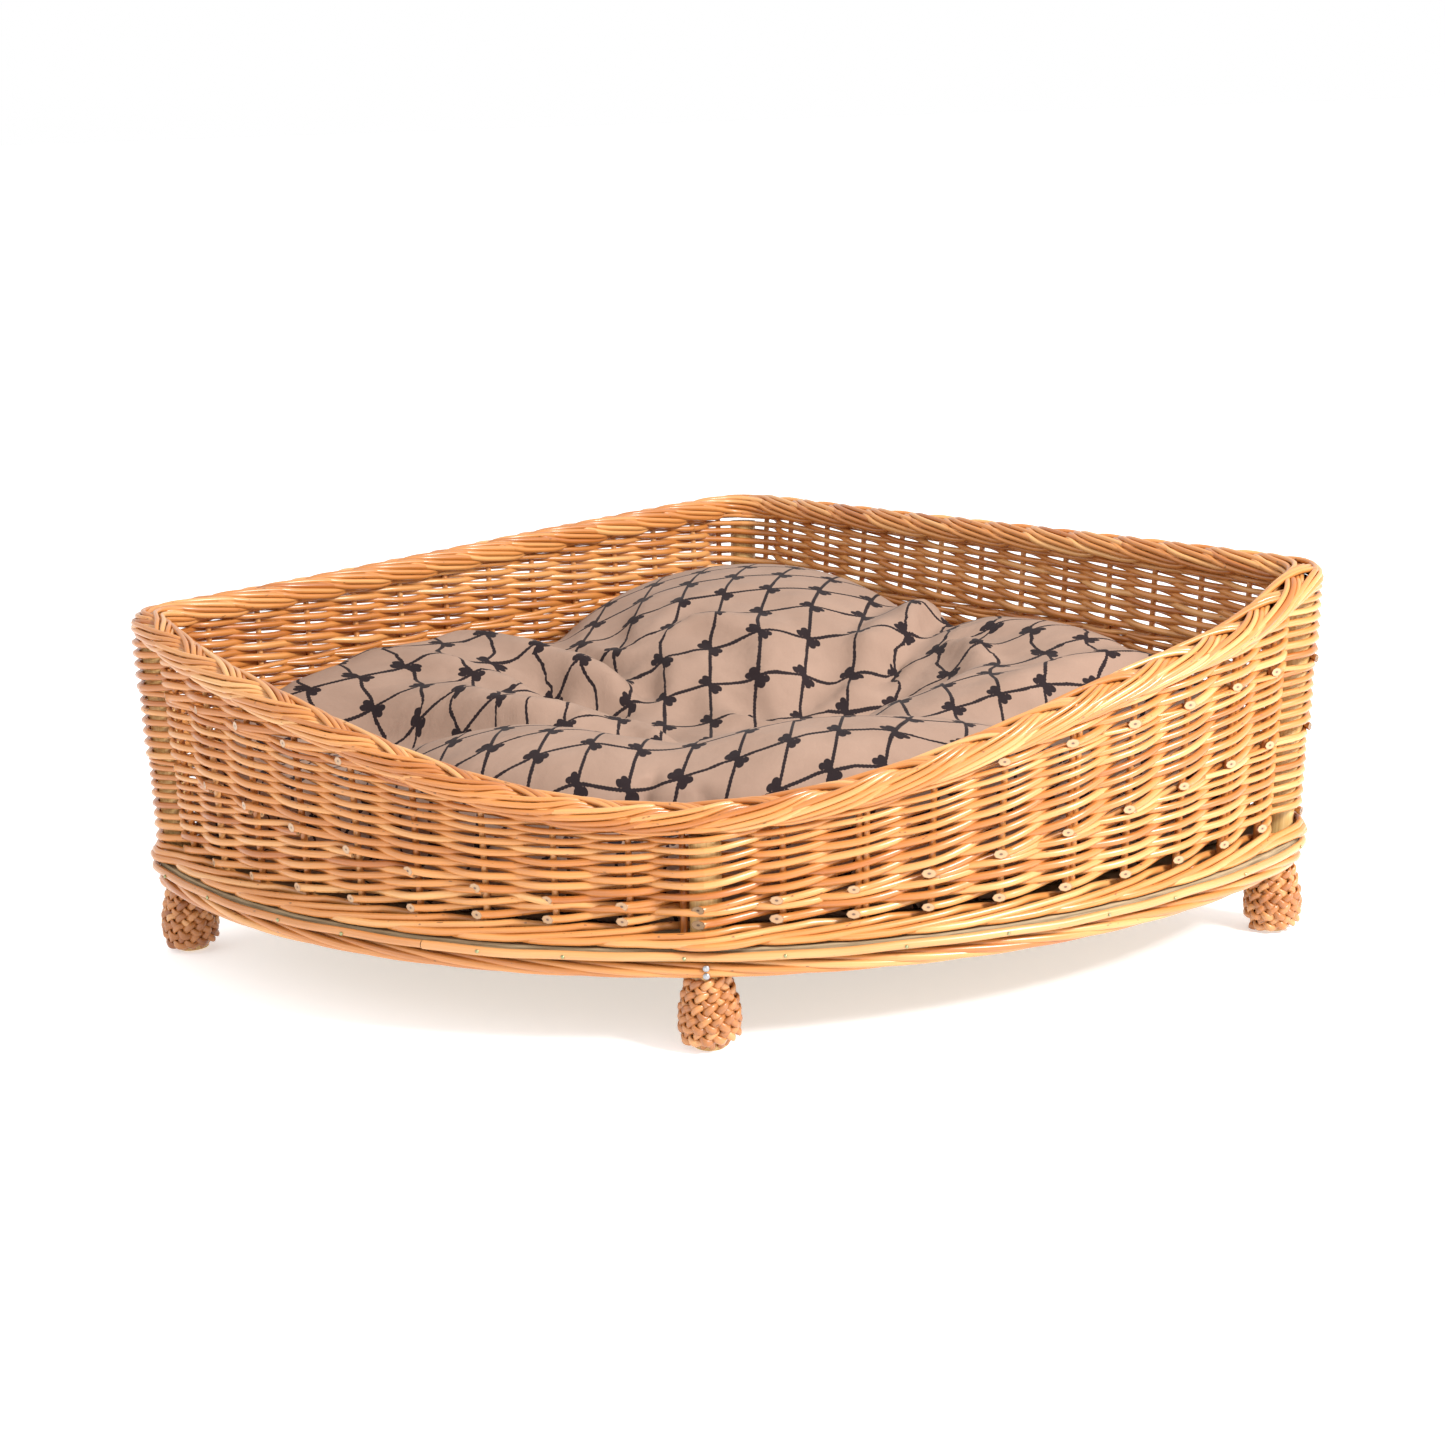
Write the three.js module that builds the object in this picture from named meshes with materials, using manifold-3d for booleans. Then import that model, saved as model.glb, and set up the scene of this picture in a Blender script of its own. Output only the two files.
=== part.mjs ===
// Corner-shaped wicker pet bed with a loose cushion. Two straight back walls meet at a right
// angle, and a round front wall closes the corner. Its rim dips to a low entrance at the front.
// Millimetres, +Z up. The front faces -Y and the floor is at z = 0.
import * as THREE from 'three';
import { mergeVertices } from 'three/addons/utils/BufferGeometryUtils.js';
import Module from 'manifold-3d';

const wasm = await Module();
wasm.setup();

// Plan. The wall line runs through the middle of the wickerwork and of the four posts.
const wallLength = 812;
const frontDepth = 340;
const cornerRadius = 30;
const planCentreShift = -114.2;

// Heights of the layers, from the floor up.
const footBorderBottom = 72;
const boardBottom = 90;
const boardTop = 102;
const waleTop = 122;
const rimTops = { left: 364, back: 377, right: 383, entrance: 236.5 };
const shoulderSags = { left: 9, right: 20 };
const entranceShift = -30;
const lowerSidingHeight = 88;
const lowerSidingDip = 74;

// Sections of the pieces.
const gap = 0.3;
const postRadius = 15;
const stakeRadius = 3.5;
const stakeBore = 4;
const waleHalfThickness = 10;
const sidingHalfThickness = 8;
const rimHalfWidth = 18;
const rimHalfHeight = 15;
const postTopClearance = 2;
const wallFlare = 0.065;
const boardOverhang = 20;
const hoopRadius = 4;
const hoopHeight = 95;
const footBorderHalfWidth = 15;
const footBorderOffset = 8;
const footThickness = 5;

// Stakes: how many spaces between them each wall has, and how close one stands beside a post.
const backWallSpaces = 13;
const frontWallSpaces = 10;
const stakeBesidePost = 21;

// Cushion: a cover with a zip along its underside, and the filling inside it.
const cushionClearance = 24;
const cushionFrontHeight = 132;
const cushionBackHeight = 208;
const cushionRounding = 55;
const cushionCornerRadius = 60;
const coverThickness = 2;
const zipLength = 420;
const zipWidth = 9;
const zipForward = 60;

// Nails that hold each foot border to its post.
const nailHeights = { upper: 84.5, lower: 77 };
const nailHeadRadius = 3.2;
const nailHeadThickness = 1.5;
const nailShankRadius = 1.2;
const nailDepthInPost = 11;

const willow = new THREE.MeshStandardMaterial({ color: 0xd98f4a, roughness: 0.42 });
const rodWood = new THREE.MeshStandardMaterial({ color: 0xd7b478, roughness: 0.55 });
const plywood = new THREE.MeshStandardMaterial({ color: 0xb09a72, roughness: 0.7 });
const steel = new THREE.MeshStandardMaterial({ color: 0xc4c4c0, roughness: 0.3, metalness: 1 });
const cotton = new THREE.MeshStandardMaterial({ color: 0xcdb4a0, roughness: 0.9 });
const fibre = new THREE.MeshStandardMaterial({ color: 0xf0ece2, roughness: 1 });
const zipPlastic = new THREE.MeshStandardMaterial({ color: 0x8f7d6e, roughness: 0.6 });

const group = new THREE.Group();

function addMesh(name, geometry, material) {
  const mesh = new THREE.Mesh(geometry, material.clone());
  mesh.name = name;
  group.add(mesh);
}

// ---- Solids: from three.js geometry to a closed solid and back ----

function toSolid(geometry) {
  const bare = geometry.clone();
  bare.deleteAttribute('normal');
  bare.deleteAttribute('uv');
  const merged = mergeVertices(bare, 1e-4);
  return new wasm.Manifold(new wasm.Mesh({
    numProp: 3,
    vertProperties: new Float32Array(merged.attributes.position.array),
    triVerts: new Uint32Array(merged.index.array),
  }));
}

function toGeometry(solid) {
  const mesh = solid.getMesh();
  const geometry = new THREE.BufferGeometry();
  geometry.setAttribute('position', new THREE.BufferAttribute(mesh.vertProperties, 3));
  geometry.setIndex(new THREE.BufferAttribute(mesh.triVerts, 1));
  geometry.computeVertexNormals();
  return geometry;
}

function subtractAll(geometry, cutters) {
  return toGeometry(cutters.reduce((solid, cutter) => solid.subtract(toSolid(cutter)), toSolid(geometry)));
}

function joinAll(geometries) {
  return toGeometry(geometries.map(toSolid).reduce((joined, solid) => joined.add(solid)));
}

// ---- Plan: the wall line as a closed path, counter-clockwise from the back corner ----

const cornerReach = wallLength / Math.SQRT2;
const frontRadius = (cornerReach ** 2 + frontDepth ** 2) / (2 * frontDepth);
const frontCentreY = frontRadius - frontDepth;

// The same outline moved inwards by `inset`, with its corners rounded to `radius`.
function planOutline(inset, radius) {
  const inward = inset + radius;
  const backY = cornerReach - inward * Math.SQRT2;
  const k = backY - frontCentreY;
  const reach = frontRadius - inward;
  const sideX = (-k - Math.sqrt(2 * reach ** 2 - k ** 2)) / 2;
  const sideY = sideX + backY;
  const sideAngle = Math.atan2(sideY - frontCentreY, sideX) + 2 * Math.PI;
  const shift = planCentreShift;
  const outline = new THREE.Shape();
  outline.absarc(0, backY + shift, radius, Math.PI / 2, 0.75 * Math.PI);
  outline.absarc(sideX, sideY + shift, radius, 0.75 * Math.PI, sideAngle);
  outline.absarc(0, frontCentreY + shift, frontRadius - inset, sideAngle, 3 * Math.PI - sideAngle);
  outline.absarc(-sideX, sideY + shift, radius, 3 * Math.PI - sideAngle, 2.25 * Math.PI);
  outline.absarc(0, backY + shift, radius, Math.PI / 4, Math.PI / 2);
  return outline;
}

const wallLine = planOutline(0, cornerRadius);
const lineLength = wallLine.getLength();
const runs = wallLine.curves.map((curve) => curve.getLength());
const halfBackCorner = runs[0];
const wallRun = runs[1];
const sideCorner = runs[2];

// Distances along the wall line to the middle of each post.
const postAt = {
  back: 0,
  left: halfBackCorner + wallRun + sideCorner / 2,
  front: lineLength / 2,
  right: lineLength - halfBackCorner - wallRun - sideCorner / 2,
};

const walls = [
  { name: 'left', from: postAt.back, to: postAt.left, spaces: backWallSpaces },
  { name: 'front_left', from: postAt.left, to: postAt.front, spaces: frontWallSpaces },
  { name: 'front_right', from: postAt.front, to: postAt.right, spaces: frontWallSpaces },
  { name: 'right', from: postAt.right, to: lineLength, spaces: backWallSpaces },
];

// A point beside the wall line: `offset` is outwards and `z` is up.
function beside(distance, offset, z) {
  const t = THREE.MathUtils.euclideanModulo(distance, lineLength) / lineLength;
  const point = wallLine.getPoint(t);
  const tangent = wallLine.getTangent(THREE.MathUtils.clamp(t, 0.0002, 0.9998));
  return new THREE.Vector3(point.x + tangent.y * offset, point.y - tangent.x * offset, z);
}

// Distances where a swept piece changes direction: two steps round half a corner, and even
// steps round the front.
function stationsBetween(from, to) {
  const frontStart = postAt.left + sideCorner / 2;
  const frontEnd = postAt.right - sideCorner / 2;
  const frontSteps = 16;
  const bends = [halfBackCorner / 2, halfBackCorner, halfBackCorner + wallRun];
  bends.push(postAt.left - sideCorner / 4, postAt.left, postAt.left + sideCorner / 4);
  const mirrored = bends.map((bend) => lineLength - bend);
  const front = [];
  for (let step = 0; step <= frontSteps; step += 1) {
    front.push(frontStart + ((frontEnd - frontStart) * step) / frontSteps);
  }
  const all = [...bends, ...front, ...mirrored.reverse()];
  const oneLap = [0, ...all, lineLength];
  const laps = [...oneLap, ...oneLap.map((distance) => distance + lineLength)];
  const inside = laps.filter((distance) => distance > from + 2 && distance < to - 2);
  return [...new Set([from, ...inside, to])];
}

// ---- Wall: heights and flare ----

// The entrance's dip: 1 at its lowest point, just left of the front post, and 0 from the side
// corners back.
function dipAt(distance) {
  const lowest = postAt.front + entranceShift;
  const end = distance < lowest ? postAt.left : postAt.right;
  const share = Math.min((distance - lowest) / (end - lowest), 1);
  return Math.cos((share * Math.PI) / 2) ** 2;
}

function ease(from, to, share) {
  return THREE.MathUtils.lerp(from, to, Math.sin((share * Math.PI) / 2) ** 2);
}

// Top of the rim: gently sloped round the two back walls, and one dip along the front, with a
// sag in each of its shoulders.
function rimTopAt(distance) {
  const along = THREE.MathUtils.euclideanModulo(distance, lineLength);
  if (along <= postAt.left) {
    return ease(rimTops.back, rimTops.left, along / postAt.left);
  }
  if (along >= postAt.right) {
    return ease(rimTops.right, rimTops.back, (along - postAt.right) / (lineLength - postAt.right));
  }
  const lowest = postAt.front + entranceShift;
  const side = along < lowest ? 'left' : 'right';
  const share = (along - lowest) / (postAt[side] - lowest);
  const sag = shoulderSags[side] * Math.sin(Math.PI * share ** 3) ** 2;
  return ease(rimTops.entrance, rimTops[side], share) - sag;
}

function rimCentreAt(distance) {
  return rimTopAt(distance) - rimHalfHeight;
}

function wallTopAt(distance) {
  return rimTopAt(distance) - 2 * rimHalfHeight - gap;
}

// How far the wall leans outwards at a height.
function flareAt(z) {
  return wallFlare * (z - boardTop);
}

// ---- Sweeping a section along the wall line ----

// The section's x runs outwards and its y runs up. `place` turns a distance and a section
// point into a point of the piece.
function sweep(section, from, to, place) {
  const stations = stationsBetween(from, to).reverse();
  const steps = stations.length - 1;
  const geometry = new THREE.ExtrudeGeometry(section, { depth: 1, steps, bevelEnabled: false });
  const position = geometry.attributes.position;
  for (let index = 0; index < position.count; index += 1) {
    const station = stations[Math.round(position.getZ(index) * steps)];
    const point = place(station, position.getX(index), position.getY(index));
    position.setXYZ(index, point.x, point.y, point.z);
  }
  geometry.computeVertexNormals();
  return geometry;
}

function ovalSection(halfWidth, halfHeight, sides) {
  const points = [];
  for (let side = 0; side < sides; side += 1) {
    const angle = (2 * Math.PI * (side + 0.5)) / sides;
    points.push(new THREE.Vector2(halfWidth * Math.cos(angle), halfHeight * Math.sin(angle)));
  }
  return new THREE.Shape(points);
}

function panelSection(halfThickness) {
  return new THREE.Shape([
    new THREE.Vector2(-halfThickness, 0),
    new THREE.Vector2(halfThickness, 0),
    new THREE.Vector2(halfThickness, 1),
    new THREE.Vector2(-halfThickness, 1),
  ]);
}

// A rod between two points.
function rod(start, end, radius, sides) {
  const along = new THREE.Vector3().subVectors(end, start);
  const geometry = new THREE.CylinderGeometry(radius, radius, along.length(), sides);
  geometry.translate(0, along.length() / 2, 0);
  const turn = new THREE.Quaternion().setFromUnitVectors(new THREE.Vector3(0, 1, 0), along.normalize());
  geometry.applyQuaternion(turn);
  geometry.translate(start.x, start.y, start.z);
  return geometry;
}

// ---- Posts: four dowels that stand on the floor and lean out with the wall up to the rim ----

function postTopAt(distance) {
  return rimTopAt(distance) - 2 * rimHalfHeight - postTopClearance;
}

function postCentre(distance, z) {
  return beside(distance, flareAt(z), z);
}

function post(distance, radius, bottom, top) {
  return rod(postCentre(distance, bottom), postCentre(distance, top), radius, 16);
}

// The room that a post needs, from just under the floor to above the rim.
function postBore(distance) {
  return post(distance, postRadius + 2 * gap, -postRadius, rimTops.right);
}

function postBores() {
  return Object.values(postAt).map(postBore);
}

function underFloor() {
  const size = 2 * wallLength;
  return new THREE.BoxGeometry(size, size, postRadius).translate(0, 0, -postRadius / 2);
}

// ---- Nails: a flat head and a shank that runs through the foot border into the post ----

function nail(distance, z) {
  const underHead = footBorderOffset + footBorderHalfWidth + gap;
  const shankEnd = postRadius - nailDepthInPost;
  const profile = [
    new THREE.Vector2(0, shankEnd),
    new THREE.Vector2(nailShankRadius, shankEnd + nailShankRadius),
    new THREE.Vector2(nailShankRadius, underHead),
    new THREE.Vector2(nailHeadRadius, underHead),
    new THREE.Vector2(nailHeadRadius, underHead + nailHeadThickness / 2),
    new THREE.Vector2(nailHeadRadius / 2, underHead + nailHeadThickness),
    new THREE.Vector2(0, underHead + nailHeadThickness),
  ];
  const geometry = new THREE.LatheGeometry(profile, 8);
  const centre = beside(distance, 0, z);
  const outwards = beside(distance, 1, z).sub(centre).normalize();
  geometry.applyQuaternion(new THREE.Quaternion().setFromUnitVectors(new THREE.Vector3(0, 1, 0), outwards));
  geometry.translate(centre.x, centre.y, centre.z);
  return geometry;
}

function nailBores() {
  const bores = [];
  for (const distance of Object.values(postAt)) {
    for (const z of Object.values(nailHeights)) {
      const inner = beside(distance, postRadius - nailDepthInPost - 1, z);
      const outer = beside(distance, footBorderOffset + footBorderHalfWidth + 5, z);
      bores.push(rod(inner, outer, nailShankRadius + 2 * gap, 8));
    }
  }
  return bores;
}

for (const [place, distance] of Object.entries(postAt)) {
  const dowel = post(distance, postRadius, -postRadius / 2, postTopAt(distance));
  addMesh(`post_${place}`, subtractAll(dowel, [underFloor(), ...nailBores()]), rodWood);
  for (const [level, z] of Object.entries(nailHeights)) {
    addMesh(`foot_nail_${place}_${level}`, nail(distance, z), steel);
  }
}

// ---- Feet: a woven bun round the lower end of each post ----

function foot(distance) {
  const inside = postRadius - footThickness;
  const neckZ = footBorderBottom - gap;
  const outside = new THREE.SplineCurve([
    new THREE.Vector2(20, 3),
    new THREE.Vector2(28, 12),
    new THREE.Vector2(31, 30),
    new THREE.Vector2(28, 50),
    new THREE.Vector2(23, neckZ),
  ]).getPoints(8);
  const profile = [new THREE.Vector2(inside, 3), ...outside, new THREE.Vector2(inside, neckZ)];
  profile.push(profile[0].clone());
  const geometry = new THREE.LatheGeometry(profile, 12);
  geometry.rotateX(Math.PI / 2);
  const centre = postCentre(distance, neckZ / 2);
  geometry.translate(centre.x, centre.y, 0);
  return subtractAll(geometry, [postBore(distance)]);
}

for (const [place, distance] of Object.entries(postAt)) {
  addMesh(`foot_${place}`, foot(distance), willow);
}

// ---- Stakes: upright rods that pass through the board and the weave into the rim ----

function stakeDistances(wall) {
  const distances = [];
  for (let space = 1; space < wall.spaces; space += 1) {
    distances.push(wall.from + ((wall.to - wall.from) * space) / wall.spaces);
  }
  if (wall.name === 'left') distances.push(wall.from + stakeBesidePost);
  if (wall.name === 'front_left') distances.push(wall.to - stakeBesidePost);
  if (wall.name === 'right') distances.push(wall.to - stakeBesidePost);
  return distances;
}

function stake(distance, radius, bottom) {
  const top = rimCentreAt(distance);
  return rod(beside(distance, flareAt(bottom), bottom), beside(distance, flareAt(top), top), radius, 6);
}

// The rim is plaited from the stakes' own upper ends, so each wall's stakes and rim are one piece.
function stakesAndRim(wall) {
  const from = wall.from + gap / 2;
  const to = wall.to - gap / 2;
  const rim = sweep(ovalSection(rimHalfWidth, rimHalfHeight, 10), from, to, (distance, x, y) => {
    const z = rimCentreAt(distance);
    return beside(distance, flareAt(z) + x, z + y);
  });
  const stakes = stakeDistances(wall).map((distance) => stake(distance, stakeRadius, boardBottom + gap));
  return joinAll([rim, ...stakes]);
}

// ---- Weave: bands of woven rods, bored for the stakes that hold them ----

function weaveBand(wall, halfThickness, bottomAt, topAt) {
  const from = wall.from + gap / 2;
  const to = wall.to - gap / 2;
  const band = sweep(panelSection(halfThickness), from, to, (distance, x, share) => {
    const z = THREE.MathUtils.lerp(bottomAt(distance), topAt(distance), share);
    return beside(distance, flareAt(z) + x, z);
  });
  const bores = stakeDistances(wall).map((distance) => stake(distance, stakeBore, boardBottom));
  return subtractAll(band, [...bores, ...postBores()]);
}

// Where the first set of siding rods ends and the second begins: low at the entrance.
function sidingJointAt(distance) {
  return waleTop + lowerSidingHeight - lowerSidingDip * dipAt(distance);
}

for (const wall of walls) {
  addMesh(`${wall.name}_stakes_and_rim`, stakesAndRim(wall), willow);
  const wale = weaveBand(wall, waleHalfThickness, () => boardTop + gap, () => waleTop);
  addMesh(`${wall.name}_foot_wale`, wale, willow);
  const lower = weaveBand(wall, sidingHalfThickness, () => waleTop + gap, sidingJointAt);
  addMesh(`${wall.name}_lower_siding`, lower, willow);
  const upper = weaveBand(wall, sidingHalfThickness, (at) => sidingJointAt(at) + gap, wallTopAt);
  addMesh(`${wall.name}_upper_siding`, upper, willow);
}

// ---- Foot border: rods plaited under the edge of the board, from post to post ----

function footBorder(wall) {
  const centreZ = (footBorderBottom + boardBottom - gap) / 2;
  const halfHeight = (boardBottom - gap - footBorderBottom) / 2;
  const section = ovalSection(footBorderHalfWidth, halfHeight, 8);
  const border = sweep(section, wall.from + gap / 2, wall.to - gap / 2, (distance, x, y) => (
    beside(distance, footBorderOffset + x, centreZ + y)
  ));
  return subtractAll(border, [...postBores(), ...nailBores()]);
}

for (const wall of walls) {
  addMesh(`${wall.name}_foot_border`, footBorder(wall), willow);
}

// ---- Base board: a plywood panel that the posts and the stakes pass through ----

function roundHole(centre, radius, sides) {
  const points = [];
  for (let side = 0; side < sides; side += 1) {
    const angle = (2 * Math.PI * side) / sides;
    points.push(new THREE.Vector2(
      centre.x + radius * Math.cos(angle),
      centre.y + radius * Math.sin(angle),
    ));
  }
  return new THREE.Path(points);
}

function baseBoard() {
  const edge = stationsBetween(0, lineLength).slice(0, -1);
  const outline = edge.map((distance) => {
    const point = beside(distance, boardOverhang, 0);
    return new THREE.Vector2(point.x, point.y);
  });
  const board = new THREE.Shape(outline);
  const middle = (boardBottom + boardTop) / 2;
  for (const distance of Object.values(postAt)) {
    board.holes.push(roundHole(postCentre(distance, middle), postRadius + 3 * gap, 16));
  }
  for (const distance of walls.flatMap(stakeDistances)) {
    board.holes.push(roundHole(beside(distance, flareAt(middle), middle), stakeBore + 2 * gap, 6));
  }
  const geometry = new THREE.ExtrudeGeometry(board, { depth: boardTop - boardBottom, bevelEnabled: false });
  geometry.translate(0, 0, boardBottom);
  return geometry;
}

addMesh('base_board', baseBoard(), plywood);

// ---- Edge hoops: two rods nailed round the edge of the board, butted at the front left ----

const hoopJoint = postAt.left + 0.31 * (postAt.right - postAt.left);
const hoopEnds = [hoopJoint, hoopJoint + lineLength / 2, hoopJoint + lineLength];

function edgeHoop(from, to) {
  const section = ovalSection(hoopRadius, hoopRadius, 8);
  const offset = boardOverhang + hoopRadius + gap;
  return sweep(section, from + gap, to - gap, (distance, x, y) => (
    beside(distance, offset + x, hoopHeight + y)
  ));
}

addMesh('front_edge_hoop', edgeHoop(hoopEnds[0], hoopEnds[1]), willow);
addMesh('back_edge_hoop', edgeHoop(hoopEnds[1], hoopEnds[2]), willow);

// ---- Cushion ----

// A pad with rounded edges, `inset` inside the cushion's skin all over. It is thicker at the
// back than at the entrance.
function pad(inset) {
  const outline = planOutline(cushionClearance + cushionRounding, cushionCornerRadius);
  const rounding = cushionRounding - inset;
  const geometry = new THREE.ExtrudeGeometry(outline, {
    depth: cushionBackHeight - 2 * cushionRounding,
    bevelThickness: rounding,
    bevelSize: rounding,
    bevelSegments: 3,
    curveSegments: 3,
  });
  geometry.computeBoundingBox();
  const { min, max } = geometry.boundingBox;
  const position = geometry.attributes.position;
  for (let index = 0; index < position.count; index += 1) {
    const towardsBack = (position.getY(index) - min.y) / (max.y - min.y);
    const height = THREE.MathUtils.lerp(cushionFrontHeight, cushionBackHeight, towardsBack);
    const share = (position.getZ(index) - min.z) / (max.z - min.z);
    position.setZ(index, boardTop + gap + inset + share * (height - 2 * inset));
  }
  return geometry;
}

function zipBlock(clearance) {
  const height = coverThickness + 2 * gap;
  const block = new THREE.BoxGeometry(
    zipLength - 2 * clearance,
    zipWidth - 2 * clearance,
    height - 2 * clearance,
  );
  block.translate(0, zipForward, boardTop + gap + height / 2 - gap);
  return block;
}

const cover = toGeometry(
  toSolid(pad(0)).subtract(toSolid(pad(coverThickness))).subtract(toSolid(zipBlock(0))),
);
addMesh('cushion_cover', cover, cotton);
addMesh('cushion_filling', pad(coverThickness + 2 * gap), fibre);
addMesh('cushion_zip', zipBlock(gap), zipPlastic);

export default group;
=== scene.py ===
"""Looks of a corner-shaped wicker pet bed: woven willow walls, plaited rim, braided feet and a
loose printed cushion. Lengths are in metres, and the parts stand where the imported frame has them."""
import math

import bpy
import numpy as np
from mathutils import Matrix, Vector
from mathutils.bvhtree import BVHTree
from mathutils.geometry import barycentric_transform


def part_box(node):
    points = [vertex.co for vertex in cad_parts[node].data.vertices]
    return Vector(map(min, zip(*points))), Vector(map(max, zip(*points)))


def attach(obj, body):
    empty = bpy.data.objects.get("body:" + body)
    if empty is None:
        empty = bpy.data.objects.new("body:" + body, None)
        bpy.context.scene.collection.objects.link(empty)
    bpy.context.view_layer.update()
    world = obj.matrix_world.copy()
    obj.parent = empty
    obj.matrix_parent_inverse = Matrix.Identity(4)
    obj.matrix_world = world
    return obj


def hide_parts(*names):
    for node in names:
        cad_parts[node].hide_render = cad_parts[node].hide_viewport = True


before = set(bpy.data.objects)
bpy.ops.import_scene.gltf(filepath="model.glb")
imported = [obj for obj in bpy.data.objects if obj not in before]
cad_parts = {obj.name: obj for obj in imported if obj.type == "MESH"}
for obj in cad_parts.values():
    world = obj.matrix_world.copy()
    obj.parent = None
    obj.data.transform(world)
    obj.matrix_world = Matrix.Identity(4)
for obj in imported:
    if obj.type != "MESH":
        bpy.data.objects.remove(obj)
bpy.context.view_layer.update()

# Plan of the wall line, which runs through the middles of the posts.
WALL_LENGTH = 0.812
FRONT_DEPTH = 0.340
CORNER_RADIUS = 0.030
BOARD_OVERHANG = 0.020

# Heights, from the frame.
FOOT_BORDER_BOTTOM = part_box("left_foot_border")[0][2]
BOARD_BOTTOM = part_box("base_board")[0][2]
BOARD_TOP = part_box("base_board")[1][2]
WALE_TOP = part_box("left_foot_wale")[1][2]
POST_RADIUS = (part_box("post_front")[1][0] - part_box("post_front")[0][0]) / 2

# Heights of the middle of the rim, and how much its shoulders sag beside the entrance.
RIM_HALF_HEIGHT = 0.015
RIM_LEFT = 0.349
RIM_BACK = 0.362
RIM_RIGHT = 0.368
RIM_ENTRANCE = 0.2215
SAG_LEFT = 0.009
SAG_RIGHT = 0.020
ENTRANCE_SHIFT = -0.030

# The wall leans out all round, and a little more to the right than to the left.
WALL_FLARE = 0.065
LEAN_RIGHT = 0.020

# The lines between the three sets of siding rods.
FIRST_SET_HEIGHT = 0.088
FIRST_SET_DIP = 0.074
SECOND_SET_HEIGHT = 0.070
SECOND_SET_RISE = 0.024

# Rods. The spaces are those between the units of one stretch of wall.
STAKE_RADIUS = 0.0035
BACK_WALL_SPACES = 13
FRONT_WALL_SPACES = 10
STAKE_BESIDE_POST = 0.021
BYE_STAKE_GAP = 0.0072
SIDING_BUTT = 0.0035
SIDING_TIP = 0.0020
SIDING_TAPER = 1.6
SIDING_LEVELS = 18
SIDING_PACKING = 0.86
SIDING_CROWDING = 0.0085
HIDDEN_BY_RIM = 0.0085
WALE_RADIUS = 0.0038
WALE_RISE = 0.0058
WALE_PUSH = 0.0125
RIM_ROD_RADIUS = 0.0029
STEPS_PER_SPACE = 8
RIM_STEPS = 11

rng = np.random.default_rng(20)


# ---- Wall line ----


class WallLine:
    """The wall line as arcs and straights, counter-clockwise from the back post."""

    def __init__(self):
        reach = WALL_LENGTH / math.sqrt(2)
        front_radius = (reach**2 + FRONT_DEPTH**2) / (2 * FRONT_DEPTH)
        front_y = front_radius - FRONT_DEPTH
        r = CORNER_RADIUS
        back_y = reach - r * math.sqrt(2)
        k = back_y - front_y
        side_x = (-k - math.sqrt(2 * (front_radius - r) ** 2 - k**2)) / 2
        side_y = side_x + back_y
        side_angle = math.atan2(side_y - front_y, side_x) + 2 * math.pi
        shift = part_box("base_board")[1][1] - BOARD_OVERHANG - (back_y + r)
        self.parts = []
        self.length = 0.0
        pi = math.pi
        self.add_arc(0, back_y + shift, r, 0.5 * pi, 0.75 * pi)
        self.add_straight(back_y + shift, side_x, side_y + shift, 0.75 * pi)
        self.add_arc(side_x, side_y + shift, r, 0.75 * pi, side_angle)
        self.add_arc(0, front_y + shift, front_radius, side_angle, 3 * pi - side_angle)
        self.add_arc(-side_x, side_y + shift, r, 3 * pi - side_angle, 2.25 * pi)
        self.add_straight(side_y + shift, 0, back_y + shift, 0.25 * pi, -side_x)
        self.add_arc(0, back_y + shift, r, 0.25 * pi, 0.5 * pi)
        lengths = [part["length"] for part in self.parts]
        self.left = lengths[0] + lengths[1] + lengths[2] / 2
        self.front = self.length / 2
        self.right = self.length - self.left

    def add_arc(self, x, y, radius, start, end):
        self.add_part("arc", x, y, radius, start, radius * (end - start))

    def add_straight(self, from_y, to_x, to_y, angle, from_x=0.0):
        # The straight joins two corner arcs of the same radius, so it runs beside their centres.
        length = math.hypot(to_x - from_x, to_y - from_y)
        self.add_part("line", from_x, from_y, CORNER_RADIUS, angle, length)

    def add_part(self, kind, x, y, radius, angle, length):
        self.parts.append(dict(kind=kind, x=x, y=y, r=radius, a=angle, start=self.length, length=length))
        self.length += length

    def at(self, distance):
        """Points and outward directions at distances along the line."""
        s = np.mod(np.asarray(distance, float), self.length)
        x, y, nx, ny = (np.zeros_like(s) for _ in range(4))
        for part in self.parts:
            inside = (s >= part["start"]) & (s <= part["start"] + part["length"])
            along = s[inside] - part["start"]
            if part["kind"] == "arc":
                angle = part["a"] + along / part["r"]
                x[inside] = part["x"] + part["r"] * np.cos(angle)
                y[inside] = part["y"] + part["r"] * np.sin(angle)
                nx[inside], ny[inside] = np.cos(angle), np.sin(angle)
            else:
                a = part["a"]
                x[inside] = part["x"] + part["r"] * math.cos(a) - along * math.sin(a)
                y[inside] = part["y"] + part["r"] * math.sin(a) + along * math.cos(a)
                nx[inside], ny[inside] = math.cos(a), math.sin(a)
        return x, y, nx, ny

    def place(self, distance, offset, z):
        """Points beside the line: offset is outwards and z is up."""
        distance, offset, z = np.broadcast_arrays(*(np.asarray(v, float) for v in (distance, offset, z)))
        x, y, nx, ny = self.at(distance)
        lean = LEAN_RIGHT * np.maximum(z - BOARD_TOP, 0)
        return np.stack([x + nx * offset + lean, y + ny * offset, z], axis=-1)


WALL = WallLine()
POSTS = {"back": 0.0, "left": WALL.left, "front": WALL.front, "right": WALL.right}


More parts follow.
